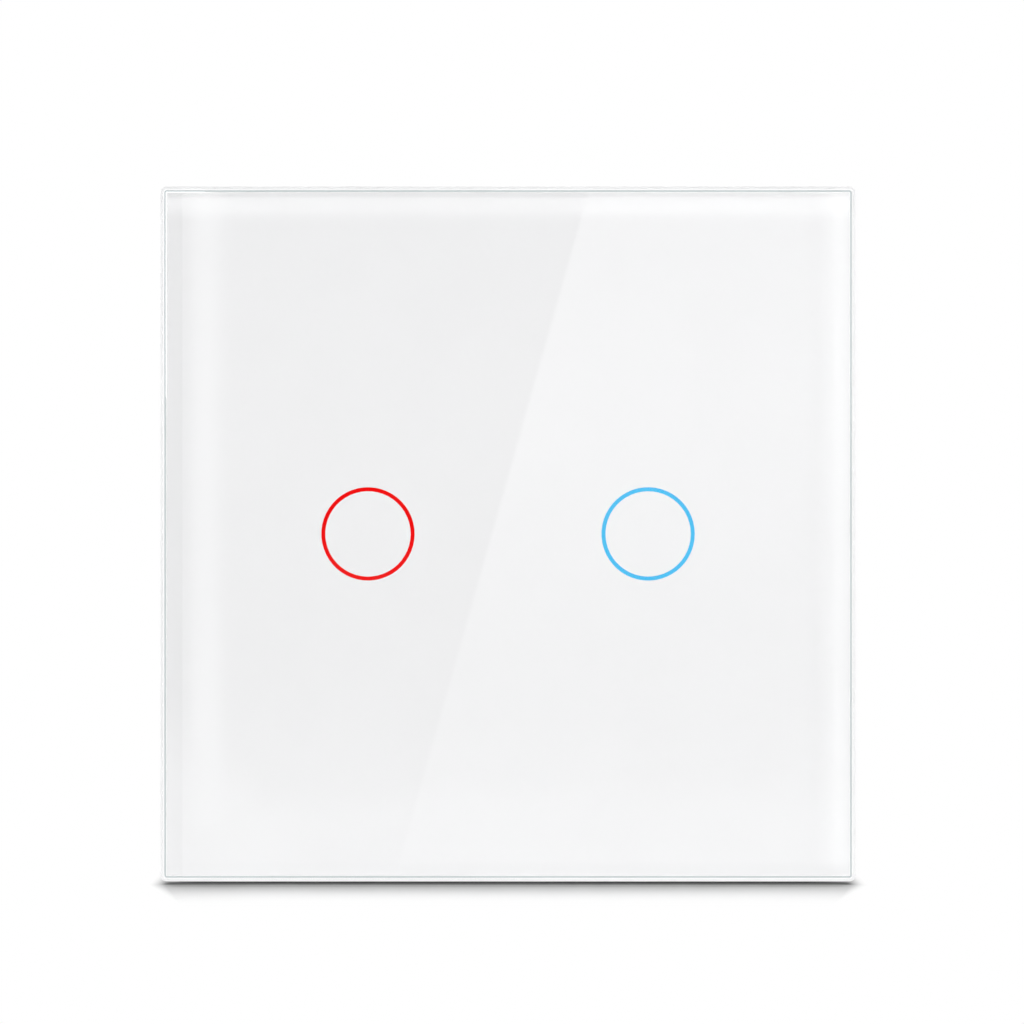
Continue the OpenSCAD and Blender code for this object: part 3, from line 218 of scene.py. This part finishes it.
metals = {
    "spring_steel": {"colour": (0.56, 0.58, 0.61), "shade": 0.22, "rough": 0.34, "lines": (5000.0, 150.0, 150.0)},
    "zinc_steel": {"colour": (0.68, 0.69, 0.72), "shade": 0.25, "rough": 0.4, "lines": (160.0, 3000.0, 3000.0)},
    "screw_steel": {"colour": (0.7, 0.7, 0.72), "shade": 0.25, "rough": 0.32, "lines": (2600.0, 500.0, 2600.0)},
    "relay_iron": {"colour": (0.55, 0.55, 0.57), "shade": 0.2, "rough": 0.36, "lines": (300.0, 3500.0, 3500.0)},
    "gold_spring": {"colour": (0.83, 0.62, 0.3), "shade": 0.2, "rough": 0.24, "lines": (3000.0, 3000.0, 3000.0)},
    "brass": {"colour": (0.76, 0.55, 0.22), "shade": 0.25, "rough": 0.34, "lines": (3500.0, 200.0, 3500.0)},
    "copper_strip": {"colour": (0.78, 0.44, 0.25), "shade": 0.22, "rough": 0.28, "lines": (3500.0, 3500.0, 220.0)},
}
finishes = {}
for slotName, look in plastics.items():
    finishes[slotName] = dressed(slotName, "skin", {"Colour": look["colour"] + (1,), "Shade": look["shade"],
        "Rough": look["rough"], "Grain": look["grain"], "Speck": look["speck"]}, look["bump"], 0.00004)
for slotName, look in metals.items():
    finishes[slotName] = dressed(slotName, "metal", {"Colour": look["colour"] + (1,), "Shade": look["shade"],
        "Rough": look["rough"], "Lines": look["lines"]}, 0.06, 0.00002, Metallic=1.0)
finishes["board_green"] = dressed("board_green", "board", {"Colour": (0.045, 0.27, 0.12, 1), "Width": 300.0},
    0.3, 0.00003, Coat_Weight=0.3, Coat_Roughness=0.15)
finishes["copper"] = dressed("copper", "wound", {"Colour": (0.72, 0.36, 0.18, 1), "Pitch": 900.0, "Shade": 0.45},
    0.35, 0.00005, Metallic=1.0)
finishes["yellow_tape"] = dressed("yellow_tape", "wound", {"Colour": (0.8, 0.55, 0.06, 1), "Pitch": 110.0,
    "Shade": 0.12}, 0.2, 0.00004)

inkLook = {"colour": (0.938, 0.931, 0.938), "shade": 0.012, "rough": 0.45, "grain": 9000.0,
    "paintedShade": -0.0406, "paintedShadeTone": 0.06}


def makeInkFinish():
    # even white ink, with painted shade in a strip along the left edge that is a little weaker towards the foot
    finish = dressed("white_print", "skin", {"Colour": inkLook["colour"] + (1,), "Shade": inkLook["shade"],
        "Rough": inkLook["rough"], "Grain": inkLook["grain"]}, 0.03, 0.00001)
    tree, shader = finish.node_tree, finish.node_tree.nodes["Principled BSDF"]
    even = shader.inputs["Base Color"].links[0].from_socket
    axes = addNode(tree, "SeparateXYZ", {0: addNode(tree, "TexCoord").outputs["Object"]})
    # painted shade: a darker band along the left edge of the print
    strip = ramp(tree, axes.outputs["X"], inkLook["paintedShade"] + 0.0003, inkLook["paintedShade"])
    paintedShade = maths(tree, "MULTIPLY", strip, ramp(tree, axes.outputs["Z"], -0.031, -0.021, 0.7))
    tree.links.new(toned(tree, even, paintedShade, inkLook["paintedShadeTone"]), shader.inputs["Base Color"])
    return finish


finishes["white_print"] = makeInkFinish()

glassLook = {"tint": (0.988, 0.994, 0.994), "side": (0.74, 0.88, 0.855), "index": 1.5, "rough": 0.002, "haze": 0.008}


def makeGlassFinish(name, tint):
    # light passes straight in to the print; the camera and reflections see real glass
    finish, tree, shader = newFinish(name)
    haze = addNode(tree, "Group", node_tree=effects["haze"])
    haze.inputs["Rough"].default_value = glassLook["rough"]
    haze.inputs["Haze"].default_value = glassLook["haze"]
    tree.links.new(haze.outputs["Roughness"], shader.inputs["Roughness"])
    shader.inputs["Base Color"].default_value = tint + (1,)
    shader.inputs["Transmission Weight"].default_value = 1.0
    shader.inputs["IOR"].default_value = glassLook["index"]
    clear = addNode(tree, "BsdfTransparent", {"Color": glassLook["tint"] + (1,)})
    path = addNode(tree, "LightPath")
    passing = maths(tree, "MAXIMUM", path.outputs["Is Shadow Ray"], path.outputs["Is Diffuse Ray"])
    mixed = addNode(tree, "MixShader", {0: passing, 1: shader.outputs[0], 2: clear.outputs[0]})
    tree.links.new(mixed.outputs[0], tree.nodes["Material Output"].inputs["Surface"])
    return finish


guideLooks = {
    "light_red": {"colour": (0.12, 0.001, 0.001), "lit": (0.9, 0.001, 0.001), "strength": 0.95},
    "light_blue": {"colour": (0.005, 0.06, 0.1), "lit": (0.0, 0.49, 0.88), "strength": 0.97},
}


def makeGuideFinish(slotName):
    # frosted light guide: evenly lit, a little brighter and dimmer round the ring
    look = guideLooks[slotName]
    finish, tree, shader = newFinish(slotName)
    skin = addNode(tree, "Group", node_tree=effects["skin"])
    for key, value in {"Colour": look["colour"] + (1,), "Shade": 0.1, "Rough": 0.5, "Grain": 5200.0}.items():
        skin.inputs[key].default_value = value
    tree.links.new(skin.outputs["Colour"], shader.inputs["Base Color"])
    tree.links.new(skin.outputs["Roughness"], shader.inputs["Roughness"])
    slow = pattern(tree, 140.0, 1.0)
    tree.links.new(toned(tree, look["lit"] + (1,), slow.outputs[0], 0.08), shader.inputs["Emission Color"])
    shader.inputs["Emission Strength"].default_value = look["strength"]
    shader.inputs["Specular IOR Level"].default_value = 0.05
    return finish


finishes["glass"] = makeGlassFinish("glass", glassLook["tint"])
for slotName in guideLooks:
    finishes[slotName] = makeGuideFinish(slotName)

slotOf = {}
for part in record["subparts"]:
    slotOf[part["node"]] = part["material_slot"]
for name, node in frame["nodes"].items():
    node.data.materials.clear()
    rolled = name.endswith(("_blade", "_contact", "_hinge_spring"))  # copper strip, where the coil is copper wire
    node.data.materials.append(finishes["copper_strip" if rolled else slotOf[name]])
print("finishes given to", len(slotOf), "nodes:", len(finishes), "slots")


# Making pieces

def finishPiece(name, bm, body, *nodes, sharp=35, even=False, creases=()):
    mesh = bpy.data.meshes.new(name)
    bm.normal_update()
    bm.to_mesh(mesh)
    bm.free()
    mesh.shade_smooth()
    mesh.set_sharp_from_angle(angle=math.radians(sharp))
    for index in creases:
        mesh.edges[index].use_edge_sharp = True
    piece = bpy.data.objects.new(name, mesh)
    scene.collection.objects.link(piece)
    slotName = slotOf[nodes[0]]
    mesh.materials.append(finishes[slotName])
    if even:  # broad faces keep their own direction, so only the broken edges turn the light
        weigh = piece.modifiers.new("evenShading", "WEIGHTED_NORMAL")
        weigh.mode, weigh.weight, weigh.keep_sharp = "FACE_AREA", 100, True
    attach(piece, body)
    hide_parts(*nodes)
    return piece


def mergedCopy(node):
    bm = bmesh.new()
    bm.from_mesh(frame["nodes"][node].data)
    bmesh.ops.remove_doubles(bm, verts=bm.verts, dist=2e-6)
    return bm


def roundOff(bm, edges, offset, segments):
    return bmesh.ops.bevel(bm, geom=edges, offset=offset, offset_type="OFFSET", segments=segments, profile=0.5,
        affect="EDGES", clamp_overlap=False, material=-1)


def edgesAt(bm, y):
    return [e for e in bm.edges if all(abs(v.co.y - y) < 1e-7 for v in e.verts)]


# Glass panel

glassPane = {"width": 0.086, "front": -0.011, "back": -0.007, "corner": 0.0008, "bevel": 0.0005, "arris": 0.0003,
    "seam": 0.0002}


seamShadeLook = {"colour": (0.6, 0.655, 0.665), "shade": 0.08, "rough": 0.35, "grain": 5000.0}


def makeSeamShadeFinish():
    # painted shade: a fine grey-green line where the polished bevel meets the face
    return dressed("glassSeamShade", "skin", {"Colour": seamShadeLook["colour"] + (1,), "Shade": seamShadeLook["shade"],
        "Rough": seamShadeLook["rough"], "Grain": seamShadeLook["grain"]}, 0.08, 0.00002)


def makeGlass():
    bm = bmesh.new()
    bmesh.ops.create_cube(bm, size=1.0)
    thick = glassPane["back"] - glassPane["front"]
    bmesh.ops.scale(bm, vec=(glassPane["width"], thick, glassPane["width"]), verts=bm.verts)
    bmesh.ops.translate(bm, vec=(0, (glassPane["front"] + glassPane["back"]) / 2, 0), verts=bm.verts)
    uprights = [e for e in bm.edges if abs(e.verts[0].co.y - e.verts[1].co.y) > 1e-6]
    roundOff(bm, uprights, glassPane["corner"], 8)
    roundOff(bm, edgesAt(bm, glassPane["front"]), glassPane["bevel"], 4)
    roundOff(bm, edgesAt(bm, glassPane["back"]), glassPane["arris"], 2)
    face = [f for f in bm.faces if f.normal.y < -0.999 and f.calc_area() > 0.001]
    # the thin ring of faces at the edge of the face carries the painted shade line
    seam = bmesh.ops.inset_region(bm, faces=face, thickness=glassPane["seam"], use_even_offset=True)["faces"]
    for f in seam:
        f.material_index = 1
    for f in bm.faces:
        if abs(f.normal.y) < 0.05:
            f.material_index = 2
    slab = finishPiece("glassSlab", bm, "panel", "glass_pane", sharp=22)
    slab.data.materials.append(makeSeamShadeFinish())
    slab.data.materials.append(makeGlassFinish("glassSide", glassLook["side"]))
    return slab


backPrint = {"lap": 0.00002}  # how far the ink reaches into the glass, so that no two faces lie on each other


def makePrint():
    bm = mergedCopy("back_print")
    front = min(v.co.y for v in bm.verts)
    inked = [v for v in bm.verts if v.co.y < front + 1e-6]
    bmesh.ops.translate(bm, vec=(0, -backPrint["lap"], 0), verts=inked)
    return finishPiece("inkLayer", bm, "panel", "back_print", sharp=1)


makeGlass()
makePrint()
print("glass and print made")


# Light guides

guide = {"pitch": 0.0348, "bore": 0.0043, "outer": 0.0065, "rim": 0.007, "front": -0.0066, "under": -0.0052,
    "rimBack": -0.0046, "board": -0.0039, "footAt": 0.00655, "footRadius": 0.0004, "round": 0.00012}


def makeGuide(name, side, node):
    bm = bmesh.new()
    corners = [(guide["bore"], guide["rimBack"]), (guide["rim"], guide["rimBack"]), (guide["rim"], guide["under"]),
        (guide["outer"], guide["under"]), (guide["outer"], guide["front"]), (guide["bore"], guide["front"])]
    points = [bm.verts.new((r, y, 0)) for r, y in corners]
    rims = [bm.edges.new((points[i], points[(i + 1) % 6])) for i in range(6)]
    bmesh.ops.spin(bm, geom=points + rims, cent=(0, 0, 0), axis=(0, 1, 0), angle=2 * math.pi, steps=96, use_merge=True)
    bmesh.ops.remove_doubles(bm, verts=bm.verts, dist=1e-7)
    bmesh.ops.recalc_face_normals(bm, faces=bm.faces)
    sharpEdges = [e for e in bm.edges if e.calc_face_angle(0) > 0.8]
    roundOff(bm, sharpEdges, guide["round"], 2)
    for turn in (90, 210, 330):
        if guide["footRadius"] > 0:
            foot = bmesh.ops.create_cone(bm, cap_ends=True, segments=24, radius1=guide["footRadius"],
                radius2=guide["footRadius"] * 0.92, depth=guide["board"] - guide["rimBack"] + 0.0003)
            bmesh.ops.rotate(bm, verts=foot["verts"], matrix=Matrix.Rotation(math.radians(-90), 3, "X"))
            a = math.radians(turn)
            middle = (guide["board"] + guide["rimBack"] - 0.0003) / 2
            bmesh.ops.translate(bm, verts=foot["verts"],
                vec=(guide["footAt"] * math.cos(a), middle, guide["footAt"] * math.sin(a)))
    bmesh.ops.translate(bm, vec=(side * guide["pitch"] / 2, 0, 0), verts=bm.verts)
    return finishPiece(name, bm, "module", node)


# Touch springs: one wire wound upwards from the board and narrowed to the glass

spring = {"wire": 0.0004, "lowRadius": 0.0033, "highRadius": 0.0024, "low": -0.0041, "high": -0.0066, "turns": 3,
    "sides": 14, "steps": 44}


def makeSpring(name, side, node):
    bm = bmesh.new()
    bmesh.ops.create_circle(bm, cap_ends=False, segments=spring["sides"], radius=spring["wire"] / 2)
    bmesh.ops.translate(bm, vec=(spring["lowRadius"], spring["low"], 0), verts=bm.verts)
    steps = spring["steps"] * spring["turns"]
    climb = (spring["high"] - spring["low"]) / steps
    bmesh.ops.spin(bm, geom=list(bm.verts) + list(bm.edges), cent=(0, 0, 0), axis=(0, -1, 0),
        angle=2 * math.pi * spring["turns"], steps=steps, dvec=(0, climb, 0), use_merge=False)
    bm.verts.ensure_lookup_table()
    for step in range(steps + 1):
        turn = 2 * math.pi * step / spring["steps"]
        pull = (spring["highRadius"] - spring["lowRadius"]) * step / steps
        section = bm.verts[step * spring["sides"]:(step + 1) * spring["sides"]]
        bmesh.ops.translate(bm, verts=section, vec=(pull * math.cos(turn), 0, pull * math.sin(turn)))
    bmesh.ops.holes_fill(bm, edges=[e for e in bm.edges if e.is_boundary], sides=spring["sides"])
    bmesh.ops.translate(bm, vec=(side * guide["pitch"] / 2, 0, 0), verts=bm.verts)
    bmesh.ops.recalc_face_normals(bm, faces=bm.faces)
    return finishPiece(name, bm, "module", node)


for side, hand in ((-1, "left"), (1, "right")):
    makeGuide(hand + "Guide", side, "light_ring_" + hand)
    makeSpring(hand + "Spring", side, "touch_spring_" + hand)
print("light guides and touch springs made")


# Moulded, stamped and turned pieces: the CAD shape with its edges broken as a tool leaves them

brokenEdges = {
    "coverShell": {"node": "front_cover", "body": "module", "round": 0.00015, "steps": 2},
    "panelCarrier": {"node": "panel_frame", "body": "panel", "round": 0.00018, "steps": 2},
    "stampedPlate": {"node": "mounting_plate", "body": "module", "round": 0.0001, "steps": 2},
    "clipLeaves": {"node": "panel_clips", "body": "module", "round": 0.00006, "steps": 2},
    "backShell": {"node": "rear_housing", "body": "module", "round": 0.00018, "steps": 2},
    "terminalShell": {"node": "terminal_block", "body": "module", "round": 0.00015, "steps": 2},
    "plateFixings": {"node": "plate_screws", "body": "module", "round": 0.00006, "steps": 2},
    "shellFixings": {"node": "housing_screws", "body": "module", "round": 0.0001, "steps": 2},
    "clampScrewLeft": {"node": "clamp_screw_1", "body": "screw_1", "round": 0.0001, "steps": 2},
    "clampScrewMiddle": {"node": "clamp_screw_2", "body": "screw_2", "round": 0.0001, "steps": 2},
    "clampScrewRight": {"node": "clamp_screw_3", "body": "screw_3", "round": 0.0001, "steps": 2},
}


def breakEdges(name):
    make = brokenEdges[name]
    bm = mergedCopy(make["node"])
    bmesh.ops.dissolve_limit(bm, angle_limit=math.radians(1.5), verts=bm.verts, edges=bm.edges)
    flat = bm.faces.layers.int.new("flat")
    for f in bm.faces:
        # a flat face has no neighbour that carries on its curve
        f[flat] = not any(0.02 < e.calc_face_angle(0) < math.radians(38) for e in f.edges)
    corners = [e for e in bm.edges if e.is_manifold and e.calc_face_angle(0) > math.radians(38)]
    for f in roundOff(bm, corners, make["round"], make["steps"])["faces"]:
        f[flat] = 0
    bmesh.ops.triangulate(bm, faces=[f for f in bm.faces if len(f.verts) > 4])
    bm.edges.index_update()
    creases = [e.index for e in bm.edges if sum(f[flat] for f in e.link_faces) == 1]
    bm.faces.layers.int.remove(flat)
    return finishPiece(name, bm, make["body"], make["node"], sharp=50, even=True, creases=creases)


for name in brokenEdges:
    breakEdges(name)
print("edges broken on", len(brokenEdges), "pieces")


# Stage, lights and camera

stage = {"floor": -0.0434, "front": -0.262, "reach": 3.0, "colour": (0.94, 0.94, 0.94), "bounce": 0.22,
    "near": 0.5, "strip": 0.5, "nook": 0.031}


def makeFloor():
    bm = bmesh.new()
    deep = stage["reach"] - stage["front"]
    bmesh.ops.create_grid(bm, x_segments=8, y_segments=8, size=0.5)
    bmesh.ops.scale(bm, vec=(2 * stage["reach"], deep, 1), verts=bm.verts)
    bmesh.ops.translate(bm, vec=(0, stage["front"] + deep / 2, stage["floor"]), verts=bm.verts)
    mesh = bpy.data.meshes.new("floor")
    bm.to_mesh(mesh)
    bm.free()
    floor = bpy.data.objects.new("floor", mesh)
    scene.collection.objects.link(floor)
    finish, tree, shader = newFinish("paleFloor")
    shader.inputs["Roughness"].default_value = 0.8
    shader.inputs["Specular IOR Level"].default_value = 0.1
    where = addNode(tree, "TexCoord").outputs["Object"]
    axes = addNode(tree, "SeparateXYZ", {0: where})
    across = maths(tree, "ABSOLUTE", axes.outputs["X"], 0.0)
    tone = pattern(tree, 6.0, 2.0)
    plain = toned(tree, stage["colour"] + (1,), tone.outputs[0], 0.02)
    # painted shadow: the floor is darker towards the panel's ends, so that the shadow keeps its depth out to them
    ends = maths(tree, "ADD", ramp(tree, axes.outputs["X"], -0.026, -0.041, 0.0, 0.25),
        ramp(tree, axes.outputs["X"], 0.028, 0.041, 0.0, 0.1))
    plain = toned(tree, plain, ends, 1.0)
    # painted shadow and painted light: the floor is darker just in front of the panel's foot and a little white is
    # mixed in under the panel, so that the dark line under it grows softer towards the front
    inner = ramp(tree, across, 0.043, 0.0405)
    fore = maths(tree, "MULTIPLY", ramp(tree, axes.outputs["Y"], -0.0108, -0.0118),
        ramp(tree, axes.outputs["Y"], -0.0155, -0.0122, 0.0, 0.2))
    plain = toned(tree, plain, maths(tree, "MULTIPLY", fore, inner), 1.0)
    soft = maths(tree, "MULTIPLY", ramp(tree, axes.outputs["Y"], -0.0055, -0.0092, 0.0, 0.085),
        ramp(tree, axes.outputs["Y"], -0.0122, -0.0098))
    # painted shade: the floor's colour darkens where ambient occlusion finds the object close by
    nook = addNode(tree, "AmbientOcclusion", {"Color": plain, "Distance": stage["nook"]}, samples=16)
    path = addNode(tree, "LightPath")
    # painted light: rays other than the camera's see the floor lighter near the panel than further off, so more light
    # is thrown back on to the object
    depth = addNode(tree, "MapRange", {"Value": maths(tree, "ABSOLUTE", axes.outputs["Y"], 0.0), "From Min": 0.035,
        "From Max": 0.075, "To Min": stage["near"], "To Max": stage["bounce"]})
    aside = addNode(tree, "MapRange", {"Value": across, "From Min": 0.08, "From Max": 0.13, "To Min": depth.outputs[0],
        "To Max": stage["bounce"]})
    shaded = addNode(tree, "Mix", {0: path.outputs["Is Camera Ray"], 6: aside.outputs[0], 7: nook.outputs["Color"]},
        data_type="RGBA")
    tree.links.new(shaded.outputs[2], shader.inputs["Base Color"])
    # painted light: to the camera the floor is mixed with white everywhere but close round the panel, which cuts its
    # shadow off at the panel's ends, ahead of it and, softly, behind it
    out = maths(tree, "MAXIMUM", maths(tree, "MULTIPLY_ADD", axes.outputs["Y"], -1.0, -0.011), 0.0)
    level = ramp(tree, axes.outputs["Y"], -0.004, 0.016)  # the shadow ends with the panel, and softly behind it
    aside = ramp(tree, maths(tree, "MULTIPLY_ADD", out, 0.2, across), 0.0421, 0.0445)
    aside = maths(tree, "MAXIMUM", aside, maths(tree, "MULTIPLY", level, ramp(tree, across, 0.012, 0.05)))
    ahead = ramp(tree, axes.outputs["Y"], -0.0075, -0.0425)
    behind = ramp(tree, axes.outputs["Y"], 0.015, 0.07)
    clear = maths(tree, "MAXIMUM", aside, maths(tree, "MAXIMUM", ahead, behind))
    clear = maths(tree, "MAXIMUM", clear, maths(tree, "MULTIPLY", soft, inner))
    mirrored = maths(tree, "MAXIMUM", path.outputs["Is Glossy Ray"], path.outputs["Is Transmission Ray"])
    white = addNode(tree, "Emission", {"Color": (1, 1, 1, 1), "Strength": 1.0})
    share = maths(tree, "MULTIPLY_ADD", path.outputs["Is Camera Ray"], clear, mirrored)
    # painted light: the floor glows white to diffuse rays from a little in front of the panel backwards, so the foot of
    # the panel gets back the light that the shadow takes from it
    strip = ramp(tree, axes.outputs["Y"], -0.043, -0.029, 0.0, stage["strip"])
    share = maths(tree, "MULTIPLY_ADD", path.outputs["Is Diffuse Ray"], strip, share)
    mixed = addNode(tree, "MixShader", {0: share, 1: shader.outputs[0], 2: white.outputs[0]})
    # past this the glass mirrors the card and not the floor, and from below the floor is open
    edge = ramp(tree, axes.outputs["Y"], -0.03, -0.055)
    beyond = addNode(tree, "BsdfTransparent")
    below = maths(tree, "MULTIPLY", path.outputs["Is Camera Ray"], addNode(tree, "NewGeometry").outputs["Backfacing"])
    opened = maths(tree, "MULTIPLY_ADD", mirrored, edge, below)
    faded = addNode(tree, "MixShader", {0: opened, 1: mixed.outputs[0], 2: beyond.outputs[0]})
    tree.links.new(faded.outputs[0], tree.nodes["Material Output"].inputs["Surface"])
    mesh.materials.append(finish)


glare = {"away": -0.9, "size": 0.3, "right": 1.25, "low": 0.95, "foot": 1.2, "left": 0.02, "lean": 0.2825, "at": -0.00455,
    "soft": 0.0008, "bars": {"top": ("Z", 0.1002, 0.0983, 0.0915, 2.6), "right": ("X", 0.106, 0.1005, 0.093, 1.5)},
    "leftBar": ("X", -0.101, -0.0945, -0.085, 1.4)}


def glareBar(tree, axes, axis, outer, middle, inner, strength):
    # a bar of light along one side of the window, with a longer fade inwards
    rising = ramp(tree, axes.outputs[axis], outer, middle)
    return maths(tree, "MULTIPLY", rising, ramp(tree, axes.outputs[axis], inner, middle, 0.0, strength))


def makeGlareCard():
    # a studio window seen only in the glass: bright to the right of a leaning edge
    bm = bmesh.new()
    bmesh.ops.create_grid(bm, x_segments=2, y_segments=2, size=glare["size"])
    bmesh.ops.rotate(bm, verts=bm.verts, matrix=Matrix.Rotation(math.radians(90), 3, "X"))
    bmesh.ops.translate(bm, vec=(0, glare["away"], 0), verts=bm.verts)
    mesh = bpy.data.meshes.new("glareCard")
    bm.to_mesh(mesh)
    bm.free()
    card = bpy.data.objects.new("glareCard", mesh)
    scene.collection.objects.link(card)
    finish, tree, shader = newFinish("glareCard")
    tree.nodes.remove(shader)
    where = addNode(tree, "TexCoord").outputs["Object"]
    axes = addNode(tree, "SeparateXYZ", {0: where})
    edge = maths(tree, "SUBTRACT", axes.outputs["X"], maths(tree, "MULTIPLY_ADD", axes.outputs["Z"], glare["lean"],
        glare["at"]))
    # both sides grow lighter towards the foot, the left one also into its lower corner
    foot = ramp(tree, axes.outputs["Z"], -0.076, -0.09)
    corner = ramp(tree, maths(tree, "ADD", axes.outputs["X"], axes.outputs["Z"]), -0.154, -0.172)
    lit = maths(tree, "MAXIMUM", ramp(tree, axes.outputs["Z"], -0.0797, -0.0935), corner)
    base = addNode(tree, "MapRange", {"Value": axes.outputs["Z"], "From Min": 0.0, "From Max": -0.08,
        "To Min": glare["left"], "To Max": 0.42}).outputs[0]
    left = addNode(tree, "MapRange", {"Value": lit, "To Min": base, "To Max": glare["foot"] * 0.72}).outputs[0]
    fade = ramp(tree, axes.outputs["Z"], -0.05, 0.03, glare["low"], glare["right"])
    right = addNode(tree, "MapRange", {"Value": foot, "To Min": fade, "To Max": glare["foot"]}).outputs[0]
    glow = ramp(tree, edge, -glare["soft"], glare["soft"], left, right)
    for bar in glare["bars"].values():
        glow = maths(tree, "ADD", glow, glareBar(tree, axes, *bar))
    above = maths(tree, "MULTIPLY", maths(tree, "MULTIPLY_ADD", lit, -0.6, 1.0),
        ramp(tree, axes.outputs["Z"], -0.1, -0.088))
    glow = maths(tree, "MULTIPLY_ADD", above, glareBar(tree, axes, *glare["leftBar"]), glow)
    light = addNode(tree, "Emission", {"Strength": glow})
    beyond = addNode(tree, "BsdfTransparent")
    # only what the glass mirrors shows the card, not what is seen through the glass
    mirrored = maths(tree, "MINIMUM", addNode(tree, "LightPath").outputs["Glossy Depth"], 1.0)
    shown = addNode(tree, "MixShader", {0: mirrored, 1: beyond.outputs[0], 2: light.outputs[0]})
    tree.links.new(shown.outputs[0], tree.nodes["Material Output"].inputs["Surface"])
    mesh.materials.append(finish)
    for ray in ("camera", "diffuse", "volume_scatter", "shadow"):
        setattr(card, "visible_" + ray, False)


lamps = {
    "topBox": {"at": (0.0, 0.14, 0.95), "look": (0.0, 0.0, -0.04), "size": (0.8, 0.34), "power": 6.0},
    "leftBox": {"at": (-0.85, -1.0, 0.12), "look": (0.0, 0.0, 0.0), "size": (0.6, 0.7), "power": 8.8},
    "rightBox": {"at": (0.85, -1.0, 0.16), "look": (0.0, 0.0, 0.0), "size": (0.6, 0.7), "power": 8.8},
    "backBox": {"at": (-0.7, 1.2, 0.6), "look": (0.0, 0.0, 0.0), "size": (1.5, 1.2), "power": 6.4,
        "matt": True},
}


def makeLamp(name):
    box = lamps[name]
    light = bpy.data.lights.new(name, "AREA")
    light.shape = "RECTANGLE"
    light.size, light.size_y = box["size"]
    light.energy = box["power"]
    lamp = bpy.data.objects.new(name, light)
    lamp.location = box["at"]
    lamp.rotation_euler = (Vector(box["look"]) - Vector(box["at"])).to_track_quat("-Z", "Y").to_euler()
    lamp.visible_camera = False
    lamp.visible_glossy = "matt" not in box
    scene.collection.objects.link(lamp)


sky = {"ambient": 0.2}


def makeSky():
    world = bpy.data.worlds.new("studio")
    scene.world = world
    world.use_nodes = True
    tree = world.node_tree
    path = addNode(tree, "LightPath")
    seen = maths(tree, "MAXIMUM", path.outputs["Is Camera Ray"],
        maths(tree, "MAXIMUM", path.outputs["Is Glossy Ray"], path.outputs["Is Transmission Ray"]))
    level = addNode(tree, "MapRange", {"Value": seen, "To Min": sky["ambient"], "To Max": 1.0})
    backdrop = tree.nodes["Background"]
    backdrop.inputs["Color"].default_value = (1, 1, 1, 1)
    tree.links.new(level.outputs[0], backdrop.inputs["Strength"])


view = {"at": (0.00049, -0.611, 0.00272), "lens": 170.6, "sensor": 36.0}


def makeCamera():
    data = bpy.data.cameras.new("photoView")
    data.sensor_width = view["sensor"]
    data.sensor_fit = "HORIZONTAL"
    data.lens = view["lens"]
    data.clip_start = 0.01
    camera = bpy.data.objects.new("photoView", data)
    camera.location = view["at"]
    camera.rotation_euler = (math.pi / 2, 0, 0)
    scene.collection.objects.link(camera)
    scene.camera = camera


makeFloor()
makeGlareCard()
for name in lamps:
    makeLamp(name)
makeSky()
makeCamera()
print("stage, lights and camera set")
